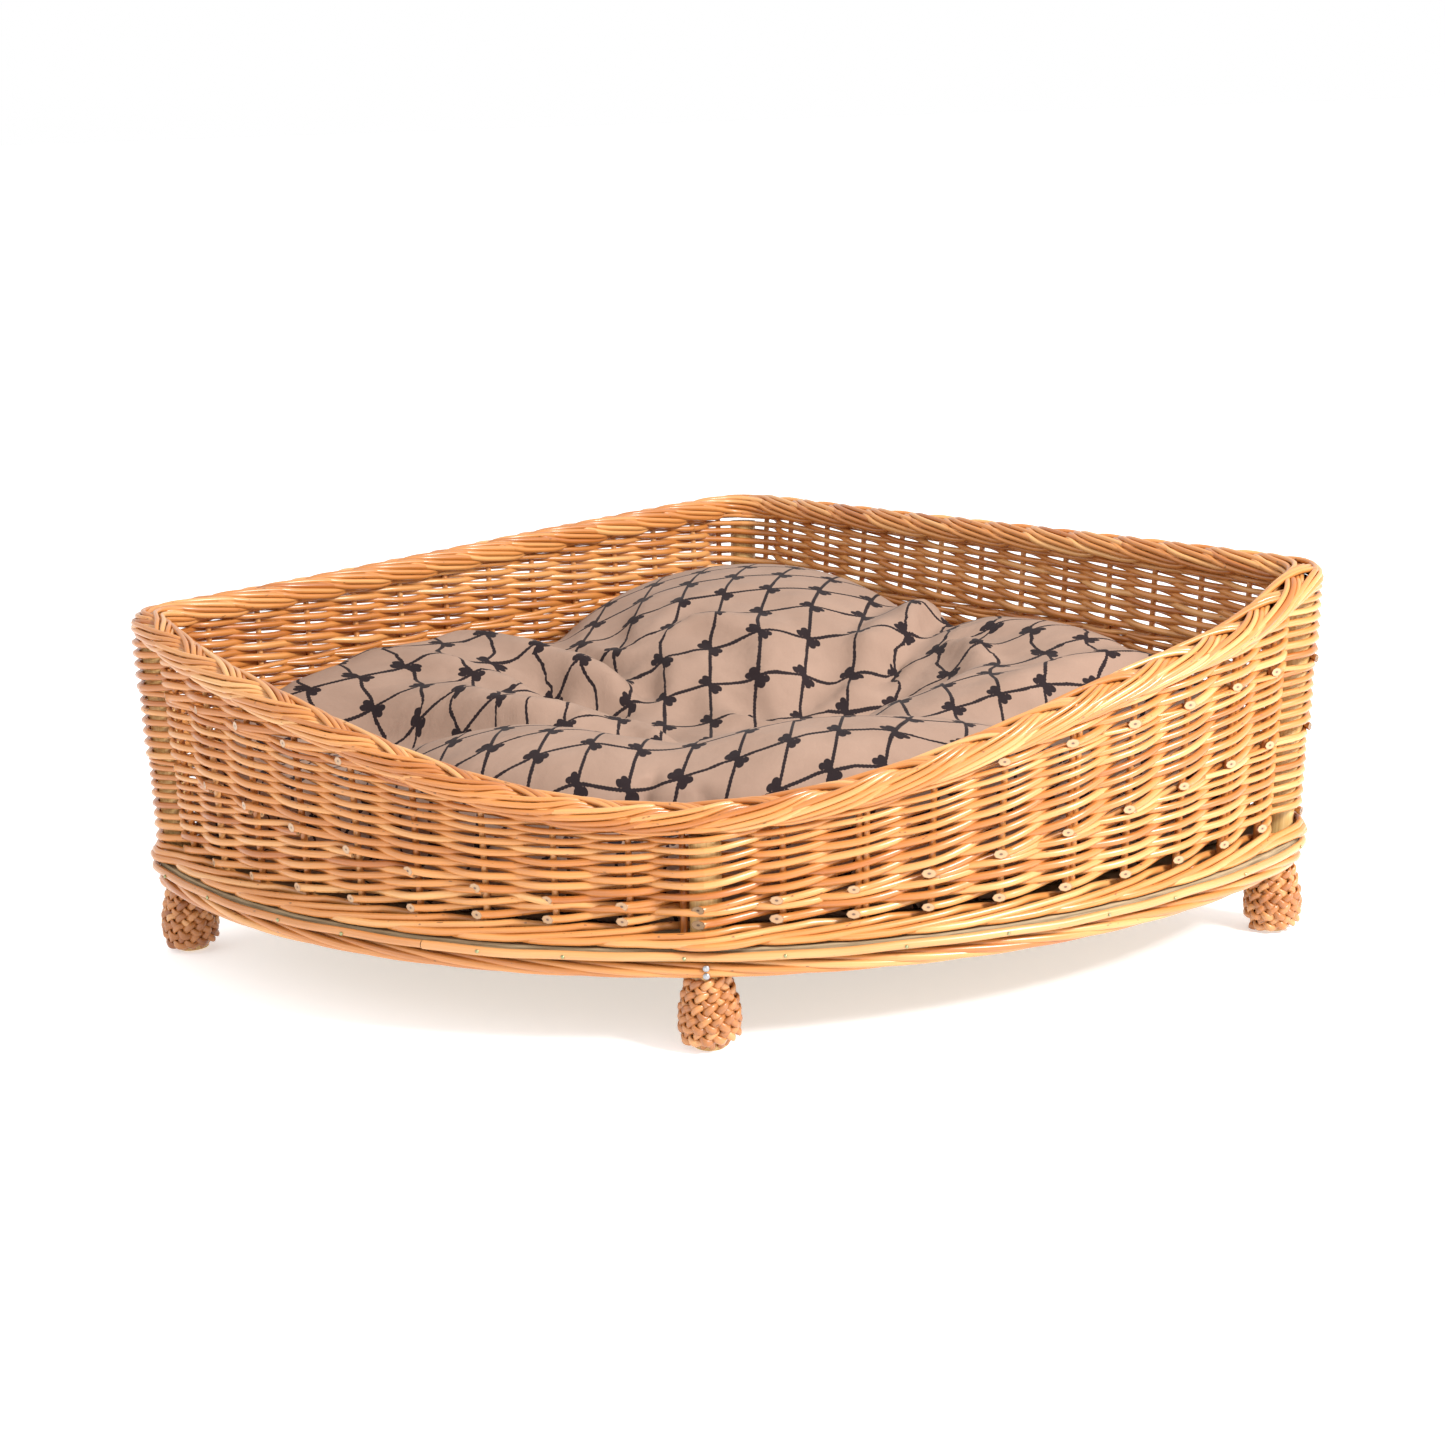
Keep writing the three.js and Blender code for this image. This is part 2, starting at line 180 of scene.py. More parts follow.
def dip_at(distance):
    """1 at the lowest point of the entrance, and 0 from the side corners back."""
    s = np.mod(np.asarray(distance, float), WALL.length)
    lowest = WALL.front + ENTRANCE_SHIFT
    end = np.where(s < lowest, WALL.left, WALL.right)
    share = np.clip((s - lowest) / (end - lowest), 0, 1)
    return np.cos(share * np.pi / 2) ** 2


def ease(start, end, share):
    return start + (end - start) * np.sin(np.clip(share, 0, 1) * np.pi / 2) ** 2


def rim_centre(distance):
    """Height of the middle of the rim: gently sloped at the back, with one dip along the front."""
    s = np.mod(np.asarray(distance, float), WALL.length)
    lowest = WALL.front + ENTRANCE_SHIFT
    left = (s - lowest) / (WALL.left - lowest)
    right = (s - lowest) / (WALL.right - lowest)
    left_shoulder = ease(RIM_ENTRANCE, RIM_LEFT, left) - shoulder_sag(SAG_LEFT, left)
    right_shoulder = ease(RIM_ENTRANCE, RIM_RIGHT, right) - shoulder_sag(SAG_RIGHT, right)
    back_left = ease(RIM_BACK, RIM_LEFT, s / WALL.left)
    back_right = ease(RIM_RIGHT, RIM_BACK, (s - WALL.right) / (WALL.length - WALL.right))
    return np.select(
        [s <= WALL.left, s <= lowest, s < WALL.right],
        [back_left, left_shoulder, right_shoulder],
        back_right,
    )


def shoulder_sag(depth, share):
    return depth * np.sin(np.pi * np.clip(share, 0, 1) ** 3) ** 2


def wall_top(distance):
    return rim_centre(distance) - RIM_HALF_HEIGHT


def flare(z):
    return WALL_FLARE * (z - BOARD_TOP)


# ---- Units: the posts and stakes that the rods are woven round ----


def unit_distances():
    """Distances of the posts and stakes once round, and the number of each post."""
    corners = [0.0, WALL.left, WALL.front, WALL.right, WALL.length]
    spaces = [BACK_WALL_SPACES, FRONT_WALL_SPACES, FRONT_WALL_SPACES, BACK_WALL_SPACES]
    distances = []
    numbers = []
    for start, end, count in zip(corners[:-1], corners[1:], spaces):
        numbers.append(len(distances))
        distances.extend(start + (end - start) * i / count for i in range(count))
    return np.array(distances), numbers


UNIT_AT, POST_UNITS = unit_distances()
UNITS = len(UNIT_AT)
WALLS = {
    "left": (POST_UNITS[0], POST_UNITS[1]),
    "front_left": (POST_UNITS[1], POST_UNITS[2]),
    "front_right": (POST_UNITS[2], POST_UNITS[3]),
    "right": (POST_UNITS[3], UNITS),
}


def distance_of(unit):
    """Distance along the wall line at a whole or part unit, over any number of laps."""
    unit = np.asarray(unit, float)
    laps = np.floor(unit / UNITS)
    knots = np.append(UNIT_AT, WALL.length)
    return np.interp(unit - laps * UNITS, np.arange(UNITS + 1), knots) + laps * WALL.length


def half_thickness(unit):
    """Half the thickness of a whole unit: a post is thicker than a stake."""
    is_post = np.isin(np.mod(unit, UNITS), POST_UNITS)
    return np.where(is_post, POST_RADIUS, STAKE_RADIUS)


# ---- Rods: swept tubes gathered into one mesh ----

# How far a slanted cut runs along its rod, for each part of its thickness.
CUT_SLANT = 1.3

# Where a rod runs on into the next wall's piece, the two parts of it overlap.
JOIN_OVERLAP = 0.0004


class RodBundle:
    """Collects rods and turns them into one mesh with attributes for their wood."""

    def __init__(self):
        self.points, self.quads, self.fans, self.ring = [], [], [], []
        self.tone, self.grain, self.heart, self.cut = [], [], [], []
        self.count = 0

    def add(self, points, radii, tone, sides=8, cut_start=False, cut_end=False, up=(0, 0, 1),
            flat=1.0, facing=None):
        """A rod along points. Its section is round, or oval when flat is under 1. The cut at its
        start is slanted towards facing, if that is given."""
        points = np.asarray(points, float)
        n = len(points)
        radii = np.broadcast_to(np.asarray(radii, float), (n,))
        tangent = np.gradient(points, axis=0)
        tangent /= np.linalg.norm(tangent, axis=1, keepdims=True)
        up = np.broadcast_to(np.asarray(up, float), (n, 3))
        side = np.cross(tangent, up)
        side /= np.linalg.norm(side, axis=1, keepdims=True)
        over = np.cross(side, tangent)
        angle = 2 * np.pi * np.arange(sides) / sides
        points = points.copy()
        points[0] -= tangent[0] * (0 if cut_start else JOIN_OVERLAP)
        points[-1] += tangent[-1] * (0 if cut_end else JOIN_OVERLAP)
        section = side[:, None] * (np.cos(angle) * flat)[:, None] + over[:, None] * np.sin(angle)[:, None]
        skin = points[:, None] + section * radii[:, None, None]
        if facing is not None:
            slide = (skin[0] - points[0]) @ np.asarray(facing) * CUT_SLANT
            skin[0] += tangent[0] * slide[:, None]
        self.points.append(skin.reshape(-1, 3))
        self.points.append(points[[0, -1]])
        steps = np.linalg.norm(np.diff(points, axis=0), axis=1)
        along = np.concatenate([[0], np.cumsum(steps)]) + rng.random() * 5
        grain = np.zeros((n, sides, 3))
        grain[..., 0] = along[:, None]
        grain[..., 1] = np.cos(angle) * radii[:, None]
        grain[..., 2] = np.sin(angle) * radii[:, None]
        self.grain.append(grain.reshape(-1, 3))
        self.grain.append(np.array([[along[0], 0, 0], [along[-1], 0, 0]]))
        self.tone.append(np.full(n * sides + 2, tone))
        heart = np.zeros(n * sides + 2)
        heart[-2:] = 1
        self.heart.append(heart)
        ring = np.full(n * sides + 2, -1)
        ring[:sides] = 2 * len(self.ring)
        ring[(n - 1) * sides : n * sides] = 2 * len(self.ring) + 1
        self.ring.append(ring)
        i = np.arange(n - 1)[:, None] * sides
        j = np.arange(sides)
        k = (j + 1) % sides
        quads = np.stack([i + j, i + k, i + sides + k, i + sides + j], axis=-1).reshape(-1, 4)
        self.quads.append(quads[:, ::-1] + self.count)
        first = np.stack([j, k, np.full(sides, n * sides)], axis=-1)
        last = np.stack([k, j, np.full(sides, n * sides + 1)], axis=-1) + [[(n - 1) * sides] * 2 + [0]]
        self.fans.append(np.concatenate([first, last])[:, ::-1] + self.count)
        self.cut.append(np.repeat([float(cut_start), float(cut_end)], sides))
        self.count += n * sides + 2

    def build(self, name, material):
        points = np.concatenate(self.points)
        quads = np.concatenate(self.quads)
        fans = np.concatenate(self.fans)
        mesh = bpy.data.meshes.new(name)
        mesh.vertices.add(len(points))
        mesh.vertices.foreach_set("co", points.ravel())
        mesh.loops.add(quads.size + fans.size)
        mesh.loops.foreach_set("vertex_index", np.concatenate([quads.ravel(), fans.ravel()]))
        mesh.polygons.add(len(quads) + len(fans))
        starts = np.concatenate([np.arange(len(quads)) * 4, quads.size + np.arange(len(fans)) * 3])
        mesh.polygons.foreach_set("loop_start", starts)
        smooth = np.concatenate([np.ones(len(quads), bool), np.zeros(len(fans), bool)])
        mesh.update(calc_edges=True)
        mesh.polygons.foreach_set("use_smooth", smooth)
        add_attribute(mesh, "tone", "FLOAT", "POINT", np.concatenate(self.tone))
        add_attribute(mesh, "heart", "FLOAT", "POINT", np.concatenate(self.heart))
        add_attribute(mesh, "grain", "FLOAT_VECTOR", "POINT", np.concatenate(self.grain))
        cut = np.concatenate([np.zeros(len(quads)), np.concatenate(self.cut)])
        add_attribute(mesh, "cut", "FLOAT", "FACE", cut)
        mesh.materials.append(material)
        ends = np.empty(len(mesh.edges) * 2, np.int32)
        mesh.edges.foreach_get("vertices", ends)
        ring = np.concatenate(self.ring)[ends.reshape(-1, 2)]
        sharp = (ring[:, 0] == ring[:, 1]) & (ring[:, 0] >= 0)
        mesh.attributes.new("sharp_edge", "BOOLEAN", "EDGE").data.foreach_set("value", sharp)
        mesh.validate()
        return link(bpy.data.objects.new(name, mesh))

    def piece(self, name, material, slot, *nodes):
        return finish_piece(self.build(name, material), slot, *nodes)


def finish_piece(obj, slot, *nodes, body="basket"):
    """Puts a piece on its body, in place of the frame's nodes; its slot is not used."""
    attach(obj, body)
    if nodes:
        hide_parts(*nodes)
    return obj


def add_attribute(mesh, name, kind, domain, values):
    attribute = mesh.attributes.new(name, kind, domain)
    key = "vector" if kind == "FLOAT_VECTOR" else "value"
    attribute.data.foreach_set(key, np.asarray(values, np.float32).ravel())


def link(obj):
    """Puts an object in the scene."""
    bpy.context.scene.collection.objects.link(obj)
    return obj


def object_of(name, points, faces, material=None):
    mesh = bpy.data.meshes.new(name)
    mesh.from_pydata(points, [], faces)
    if material:
        mesh.materials.append(material)
    return link(bpy.data.objects.new(name, mesh))


def random_tone(spread=1.0, source=rng):
    return float(np.clip(0.5 + spread * source.normal(0, 0.22), 0, 1))


def rod_source(*key):
    """Random numbers of one rod, the same in every wall that it runs through."""
    return np.random.default_rng([20, *key])


# ---- Materials ----


class NodeTree:
    """A short way to write a node material."""

    def __init__(self, name):
        self.material = bpy.data.materials.new(name)
        self.material.use_nodes = True
        self.nodes = self.material.node_tree.nodes
        self.links = self.material.node_tree.links
        self.shader = self.nodes["Principled BSDF"]

    def node(self, kind, settings=None, **inputs):
        node = self.nodes.new(kind)
        for key, value in (settings or {}).items():
            setattr(node, key, value)
        for key, value in inputs.items():
            self.set(node, key, value)
        return node

    def set(self, node, key, value):
        """Sets or links an input. Its key is its name with _ for spaces, or i and its number."""
        socket = node.inputs[int(key[1:]) if key[1:].isdigit() else key.replace("_", " ")]
        if isinstance(value, bpy.types.NodeSocket):
            self.links.new(value, socket)
        else:
            socket.default_value = value

    def surface(self, **inputs):
        """Sets the shader's inputs, and gives the finished material."""
        for key, value in inputs.items():
            self.set(self.shader, key, value)
        return self.material

    def attribute(self, name, output="Fac"):
        return self.node("ShaderNodeAttribute", {"attribute_name": name}).outputs[output]

    def place(self):
        return self.node("ShaderNodeTexCoord").outputs["Object"]

    def math(self, operation, a, b=0.0):
        return self.node("ShaderNodeMath", {"operation": operation}, i0=a, i1=b).outputs[0]

    def add(self, a, b):
        return self.math("ADD", a, b)

    def multiply(self, a, b):
        return self.math("MULTIPLY", a, b)

    def noise(self, vector, scale, detail=3.0, roughness=0.55):
        """Noise from 0 to 1. A scale of three numbers stretches it along the axes."""
        if isinstance(scale, tuple):
            stretch = self.node("ShaderNodeVectorMath", {"operation": "MULTIPLY"}, i0=vector, i1=scale)
            vector, scale = stretch.outputs[0], 1.0
        inputs = dict(Vector=vector, Scale=scale, Detail=detail, Roughness=roughness)
        return self.node("ShaderNodeTexNoise", **inputs).outputs["Fac"]

    def ramp(self, value, *stops):
        """Colours at positions. A colour may be one number, for a grey."""
        node = self.node("ShaderNodeValToRGB", Fac=value)
        elements = node.color_ramp.elements
        while len(elements) < len(stops):
            elements.new(0.5)
        for element, (position, colour) in zip(elements, stops):
            element.position = position
            element.color = (*np.broadcast_to(colour, 3), 1.0)
        return node.outputs["Color"]

    def mix(self, factor, a, b, blend="MIX"):
        node = self.node("ShaderNodeMix", {"data_type": "RGBA", "blend_type": blend}, i0=factor)
        for key, value in (("i6", a), ("i7", b)):
            self.set(node, key, (*value, 1.0) if isinstance(value, tuple) else value)
        return node.outputs[2]

    def bump(self, height, strength, distance):
        node = self.node("ShaderNodeBump", Height=height, Strength=strength, Distance=distance)
        return node.outputs["Normal"]


def willow_material(name, pale, mid, deep, roughness):
    """Peeled willow rods under clear varnish, each rod with its own tone, and pale cut ends."""
    tree = NodeTree(name)
    grain = tree.attribute("grain", "Vector")
    fibres = tree.noise(grain, (14, 900, 900), 4.0, 0.6)
    blotches = tree.noise(grain, (9, 60, 60), 2.0)
    shade = tree.add(tree.multiply(tree.attribute("tone"), 0.62), tree.multiply(blotches, 0.38))
    wood = tree.ramp(shade, (0.2, deep), (0.5, mid), (0.8, pale))
    streaks = tree.ramp(fibres, (0.3, (0.72, 0.66, 0.6)), (0.55, 1.0), (0.8, (1.1, 1.12, 1.16)))
    wood = tree.mix(0.55, wood, streaks, "MULTIPLY")
    knots = tree.ramp(tree.noise(grain, (120, 240, 240), 1.0), (0.735, 0.0), (0.775, 1.0))
    wood = tree.mix(tree.multiply(knots, 0.75), wood, (0.16, 0.06, 0.02))
    bark, ring, inner, pith = (0.3, 0.14, 0.05), (0.52, 0.31, 0.15), (0.46, 0.27, 0.13), (0.13, 0.06, 0.03)
    cut_end = tree.ramp(tree.attribute("heart"), (0.0, bark), (0.22, ring), (0.68, inner), (0.82, pith))
    return tree.surface(
        Base_Color=tree.mix(tree.attribute("cut"), wood, cut_end),
        Roughness=tree.add(roughness - 0.06, tree.multiply(fibres, 0.14)),
        Coat_Weight=0.5,
        Coat_Roughness=0.2,
        Specular_IOR_Level=0.5,
        Normal=tree.bump(tree.add(tree.multiply(fibres, 0.5), blotches), 0.35, 0.0006),
    )


WILLOW = willow_material(
    "willow_rod", (0.71, 0.37, 0.13), (0.58, 0.225, 0.052), (0.42, 0.130, 0.02), 0.38
)
SPLIT_WILLOW = willow_material(
    "split_willow", (0.62, 0.30, 0.11), (0.48, 0.185, 0.05), (0.29, 0.092, 0.02), 0.42
)
HOOP_WILLOW = willow_material(
    "hoop_rod", (0.64, 0.315, 0.11), (0.52, 0.205, 0.055), (0.36, 0.11, 0.022), 0.38
)


def dowel_material():
    """Turned pine: straight grain along the post under clear varnish."""
    tree = NodeTree("dowel_wood")
    grain = tree.attribute("grain", "Vector")
    rings = tree.noise(grain, (5, 260, 260), 5.0, 0.6)
    pores = tree.noise(grain, (40, 1500, 1500))
    wood = tree.ramp(rings, (0.3, (0.5, 0.3, 0.1)), (0.5, (0.68, 0.45, 0.17)), (0.7, (0.74, 0.52, 0.23)))
    return tree.surface(
        Base_Color=tree.mix(0.35, wood, tree.ramp(pores, (0.35, (0.7, 0.62, 0.5)), (0.6, 1.0)), "MULTIPLY"),
        Roughness=tree.add(0.42, tree.multiply(pores, 0.2)),
        Coat_Weight=0.2,
        Normal=tree.bump(rings, 0.2, 0.0005),
    )


def plywood_material():
    """Plywood: a plain face veneer, and an edge of stacked veneers, both darker than the wood's own colour
    as painted shade.
    """
    tree = NodeTree("plywood")
    place = tree.place()
    face = tree.noise(place, (3, 60, 60), 5.0, 0.6)
    edge = tree.noise(place, (30, 30, 700), 2.0)
    # Painted shade: both colours are darkened past the wood's own to stand in for the shade on the board
    # between the hoop and the wale.
    face_colour = tree.ramp(face, (0.3, (0.27, 0.19, 0.10)), (0.7, (0.38, 0.28, 0.155)))
    edge_colour = tree.ramp(edge, (0.35, (0.22, 0.16, 0.09)), (0.65, (0.42, 0.33, 0.2)))
    normal = tree.node("ShaderNodeNewGeometry").outputs["Normal"]
    upright = tree.node("ShaderNodeSeparateXYZ", i0=normal).outputs[2]
    is_face = tree.math("GREATER_THAN", tree.math("ABSOLUTE", upright), 0.7)
    return tree.surface(
        Base_Color=tree.mix(is_face, edge_colour, face_colour),
        Roughness=tree.add(0.55, tree.multiply(face, 0.2)),
        Normal=tree.bump(face, 0.2, 0.0008),
    )


def plain_material(name, low, high, noise, roughness, bump, **inputs):
    """A material whose colour, roughness and relief all follow one noise."""
    tree = NodeTree(name)
    marks = tree.noise(tree.place(), *noise)
    return tree.surface(
        Base_Color=tree.ramp(marks, (0.3, low), (0.7, high)),
        Roughness=tree.add(roughness[0], tree.multiply(marks, roughness[1])),
        Normal=tree.bump(marks, *bump),
        **inputs,
    )


# The print: two families of twisted ropes that cross in a lattice, with a bone on each crossing.
LATTICE_SPACING = 0.057
LATTICE_FIRST = math.radians(85)
LATTICE_SECOND = math.radians(16)
BONE_TURN = math.radians(-42)
BONE_HALF_SHAFT = 0.0072
BONE_SHAFT_RADIUS = 0.0043
BONE_KNOB_OUT = 0.0092
BONE_KNOB_SIDE = 0.0037
BONE_KNOB_RADIUS = 0.0040
ROPE_HALF_WIDTH = 0.0015
ROPE_SCALLOP = 0.0006
ROPE_LAY = 0.0040


class PrintMaths:
    """Distances on the printed cloth, in metres, from its flat coordinates."""

    def __init__(self, tree):
        self.tree = tree
        self.x, self.y, _ = tree.node("ShaderNodeSeparateXYZ", i0=tree.attribute("print", "Vector")).outputs
        first = (math.cos(LATTICE_FIRST), math.sin(LATTICE_FIRST))
        second = (math.cos(LATTICE_SECOND), math.sin(LATTICE_SECOND))
        self.area = first[0] * second[1] - first[1] * second[0]
        scale = 1 / (self.area * LATTICE_SPACING)
        self.i = self.combine(second[1] * scale, -second[0] * scale)
        self.j = self.combine(-first[1] * scale, first[0] * scale)
        self.first, self.second = first, second

    def combine(self, a, b, x=None, y=None):
        """a times x plus b times y."""
        tree = self.tree
        return tree.add(tree.multiply(x or self.x, a), tree.multiply(y or self.y, b))

    def offset(self, value):
        """Signed distance of a lattice coordinate from the nearest whole number."""
        m = self.tree.math
        return m("SUBTRACT", value, m("ROUND", value))

    def rope(self, across, along):
        """1 on a rope: its edges are scalloped by the turns of its strands."""
        m = self.tree.math
        reach = m("MULTIPLY", m("ABSOLUTE", self.offset(across)), abs(self.area) * LATTICE_SPACING)
        turns = m("MULTIPLY", along, math.pi * LATTICE_SPACING / ROPE_LAY)
        side = m("MULTIPLY", m("SIGN", self.offset(across)), 0.8)
        edge = m("MULTIPLY", m("ABSOLUTE", m("SINE", m("ADD", turns, side))), ROPE_SCALLOP)
        return m("LESS_THAN", reach, m("ADD", edge, ROPE_HALF_WIDTH))

    def bone(self):
        """1 on a bone: a shaft with two knobs at each end."""
        m = self.tree.math
        di, dj = self.offset(self.i), self.offset(self.j)
        s = LATTICE_SPACING
        dx = self.combine(self.first[0] * s, self.second[0] * s, di, dj)
        dy = self.combine(self.first[1] * s, self.second[1] * s, di, dj)
        c, k = math.cos(BONE_TURN), math.sin(BONE_TURN)
        u = m("ABSOLUTE", self.combine(c, k, dx, dy))
        v = m("ABSOLUTE", self.combine(-k, c, dx, dy))
        past = m("MAXIMUM", m("SUBTRACT", u, BONE_HALF_SHAFT), 0.0)
        shaft = m("SUBTRACT", self.length(past, v), BONE_SHAFT_RADIUS)
        knob = self.length(m("SUBTRACT", u, BONE_KNOB_OUT), m("SUBTRACT", v, BONE_KNOB_SIDE))
        knob = m("SUBTRACT", knob, BONE_KNOB_RADIUS)
        return m("LESS_THAN", m("MINIMUM", shaft, knob), 0.0)

    def length(self, a, b):
        m = self.tree.math
        return m("SQRT", m("ADD", m("MULTIPLY", a, a), m("MULTIPLY", b, b)))


def cotton_material():
    """Taupe cotton twill with the dark rope and bone print."""
    tree = NodeTree("cotton_print")
    maths = PrintMaths(tree)
    ink = tree.math("MAXIMUM", maths.rope(maths.j, maths.i), maths.rope(maths.i, maths.j))
    ink = tree.math("MAXIMUM", ink, maths.bone())
    at = tree.attribute("print", "Vector")
    weave = tree.node("ShaderNodeTexWave", {"wave_type": "BANDS", "bands_direction": "DIAGONAL"},
                      Vector=at, Scale=420.0, Distortion=1.5, Detail=1.0).outputs["Fac"]
    mottle = tree.noise(at, 14.0, 4.0)
    cloth = tree.ramp(mottle, (0.3, (0.295, 0.190, 0.138)), (0.7, (0.345, 0.226, 0.167)))
    cloth = tree.mix(0.12, cloth, tree.ramp(weave, (0.0, 0.6), (1.0, 1.0)), "MULTIPLY")
    dark = tree.ramp(mottle, (0.3, (0.012, 0.006, 0.007)), (0.7, (0.018, 0.009, 0.010)))
    height = tree.add(tree.multiply(weave, 0.04), tree.noise(at, 30.0, 5.0, 0.6))
    creases = tree.noise(at, (10.0, 20.0, 10.0), 2.0, 0.4)
    height = tree.add(height, tree.multiply(creases, 5.0))
    return tree.surface(
        Base_Color=tree.mix(ink, cloth, dark),
        Roughness=0.78,
        Specular_IOR_Level=0.2,
        Sheen_Weight=0.03,
        Sheen_Roughness=0.45,
        Normal=tree.bump(height, 0.55, 0.0035),
    )


DOWEL_WOOD = dowel_material()
PLYWOOD = plywood_material()
STEEL = plain_material(
    "nail_steel", (0.3, 0.31, 0.33), (0.5, 0.51, 0.53), (900.0,), (0.3, 0.15), (0.15, 0.0003),
    Metallic=1.0,
)
BRASSED_STEEL = plain_material(
    "pin_steel", (0.26, 0.27, 0.13), (0.42, 0.43, 0.24), (900.0,), (0.32, 0.15), (0.15, 0.0003),
    Metallic=1.0,
)
FIBRE = plain_material(
    "fibre_filling", (0.7, 0.68, 0.62), (0.9, 0.88, 0.84), (90.0, 6.0, 0.7), (0.95, 0.0), (0.8, 0.003)
)
# Dark brown nylon with the ribs of a woven tape.
ZIP_NYLON = plain_material(
    "zip_nylon", (0.035, 0.022, 0.02), (0.075, 0.05, 0.045), ((900, 200, 200), 2.0), (0.4, 0.2),
    (0.4, 0.0004),
)
COTTON = cotton_material()


# ---- Siding: three sets of thin rods, woven over one unit and under the next ----

# A rod starts at level 0 of its set and climbs one level for each unit that it passes. These are
# the thickness and height of each level, with a few more levels than a full rod has.
LEVELS = np.arange(SIDING_LEVELS + 12)
THINNEST = 0.9 * SIDING_TIP
LEVEL_RADIUS = SIDING_BUTT + (SIDING_TIP - SIDING_BUTT) * (LEVELS / SIDING_LEVELS) ** SIDING_TAPER
LEVEL_RADIUS = np.maximum(LEVEL_RADIUS, THINNEST)
LEVEL_STEP = SIDING_PACKING * (LEVEL_RADIUS[:-1] + LEVEL_RADIUS[1:])
LEVEL_HEIGHT = np.concatenate([[0], np.cumsum(LEVEL_STEP)]) + LEVEL_RADIUS[0]


def set_floor(number, distance):
    """Lower edge of a set of siding rods."""
    first = WALE_TOP + FIRST_SET_HEIGHT - FIRST_SET_DIP * dip_at(distance)
    second = first + SECOND_SET_HEIGHT + SECOND_SET_RISE * np.sqrt(dip_at(distance))
    return [np.full_like(first, WALE_TOP), first, second][number]


def set_ceiling(number, distance):
    top = wall_top(distance) + HIDDEN_BY_RIM
    return top if number == 2 else np.minimum(set_floor(number + 1, distance), top)


def weave_path(start, first, last, number, wander):
    """Path of a siding rod that started at a unit, from its first to its last level."""
    level = first + np.arange(0, (last - first) * STEPS_PER_SPACE + 1) / STEPS_PER_SPACE
    unit = start + level
    radius = np.interp(level, LEVELS, LEVEL_RADIUS)
    distance = distance_of(unit)
    z = set_floor(number, distance) + np.interp(level, LEVELS, LEVEL_HEIGHT)
    z = np.minimum(z, set_ceiling(number, distance) - 0.0005)
    whole = np.floor(unit + 1e-9)
    share = unit - whole
    parity = np.where(np.mod(whole - start, 2) == 0, 1.0, -1.0)
    reach_here = parity * (half_thickness(whole) + radius)
    reach_next = -parity * (half_thickness(whole + 1) + radius)
    blend = (1 - np.cos(np.pi * share)) / 2
    offset = reach_here + (reach_next - reach_here) * blend
    wobble = wander * np.sin(unit * 1.7 + start) + 0.0004 * np.sin(unit * 5.1 + 2 * start)
    return distance, offset, z + wobble, radius, unit


def add_siding(bundles, number):
    for start in range(UNITS):
        count = SIDING_LEVELS + int(rng.integers(-1, 2))
        if number == 2:
            count = SIDING_LEVELS + 6
        units = start + np.arange(count + 1)
        distances = distance_of(units)
        heights = set_floor(number, distances) + LEVEL_HEIGHT[: count + 1]
        fits = heights - SIDING_CROWDING < set_ceiling(number, distances)
        tone = random_tone()
        wander = rng.uniform(-0.0006, 0.0006)
        thickness = rng.uniform(1.02, 1.17)
        for run in runs_of(fits):
            if run[1] - run[0] >= 1:
                add_siding_rod(bundles, number, start, run, tone, wander, thickness)


def runs_of(flags):
    """First and last index of each stretch of true flags."""
    padded = np.concatenate([[False], flags, [False]]).astype(int)
    change = np.diff(padded)
    return list(zip(np.flatnonzero(change == 1), np.flatnonzero(change == -1) - 1))


def add_siding_rod(bundles, number, start, run, tone, wander, thickness):
    first, last = run
    distance, offset, z, radius, unit = weave_path(start, first, last, number, wander)
    radius = radius * thickness
    points = WALL.place(distance, offset + flare(z), z)
    if first == 0:
        points = add_butt(points, unit[0], z[0])
        radius = np.concatenate([[radius[0] * BUTT_SWELL], radius])
        unit = np.concatenate([[unit[0] - 0.12], unit])
    for name, (begin, end) in WALLS.items():
        for lap in (0, UNITS):
            keep = np.flatnonzero((unit >= begin + lap - 1e-6) & (unit <= end + lap + 1e-6))
            if begin + lap == start and first == 0:
                keep = np.union1d([0], keep)
            if len(keep) < 2:
                continue
            starts = keep[0] == 0
            ends = keep[-1] == len(points) - 1
            facing = outward_at(distance[0]) if starts else None
            bundles[name].add(points[keep], radius[keep], tone, 8, starts, ends, facing=facing)


def outward_at(distance):
    """Level direction out of the wall at one distance."""
    _, _, nx, ny = WALL.at(np.array([distance]))
    return nx[0], ny[0], 0.0


# How far a butt end reaches back past its unit, stands out from it, and is thicker than its rod.
BUTT_PAST = 0.006
BUTT_PROUD = 0.0025
BUTT_SWELL = 1.12


def add_butt(points, unit, z):
    """The butt end of a rod stands a little proud of the unit it starts on."""
    distance = distance_of(unit) - BUTT_PAST
    reach = float(half_thickness(unit)) + SIDING_BUTT + BUTT_PROUD
    start = WALL.place(distance, reach + flare(z), z)
    return np.concatenate([start[None], points])


def build_siding():
    lower = {name: RodBundle() for name in WALLS}
    upper = {name: RodBundle() for name in WALLS}
    add_siding(lower, 0)
    add_siding(upper, 1)
    add_siding(upper, 2)
    for name in WALLS:
        lower[name].piece(f"{name}_lower_siding_rods", WILLOW, "willow_rod", f"{name}_lower_siding")
        upper[name].piece(f"{name}_upper_siding_rods", WILLOW, "willow_rod", f"{name}_upper_siding")


# ---- Foot wale: four rods, each in front of three units and behind the next ----

WALE_RODS = 4


def build_wale():
    bundles = {name: RodBundle() for name in WALLS}
    for rod in range(WALE_RODS):
        add_wale_rod(bundles, rod)
    for name in WALLS:
        bundles[name].piece(f"{name}_foot_wale_rods", WILLOW, "willow_rod", f"{name}_foot_wale")


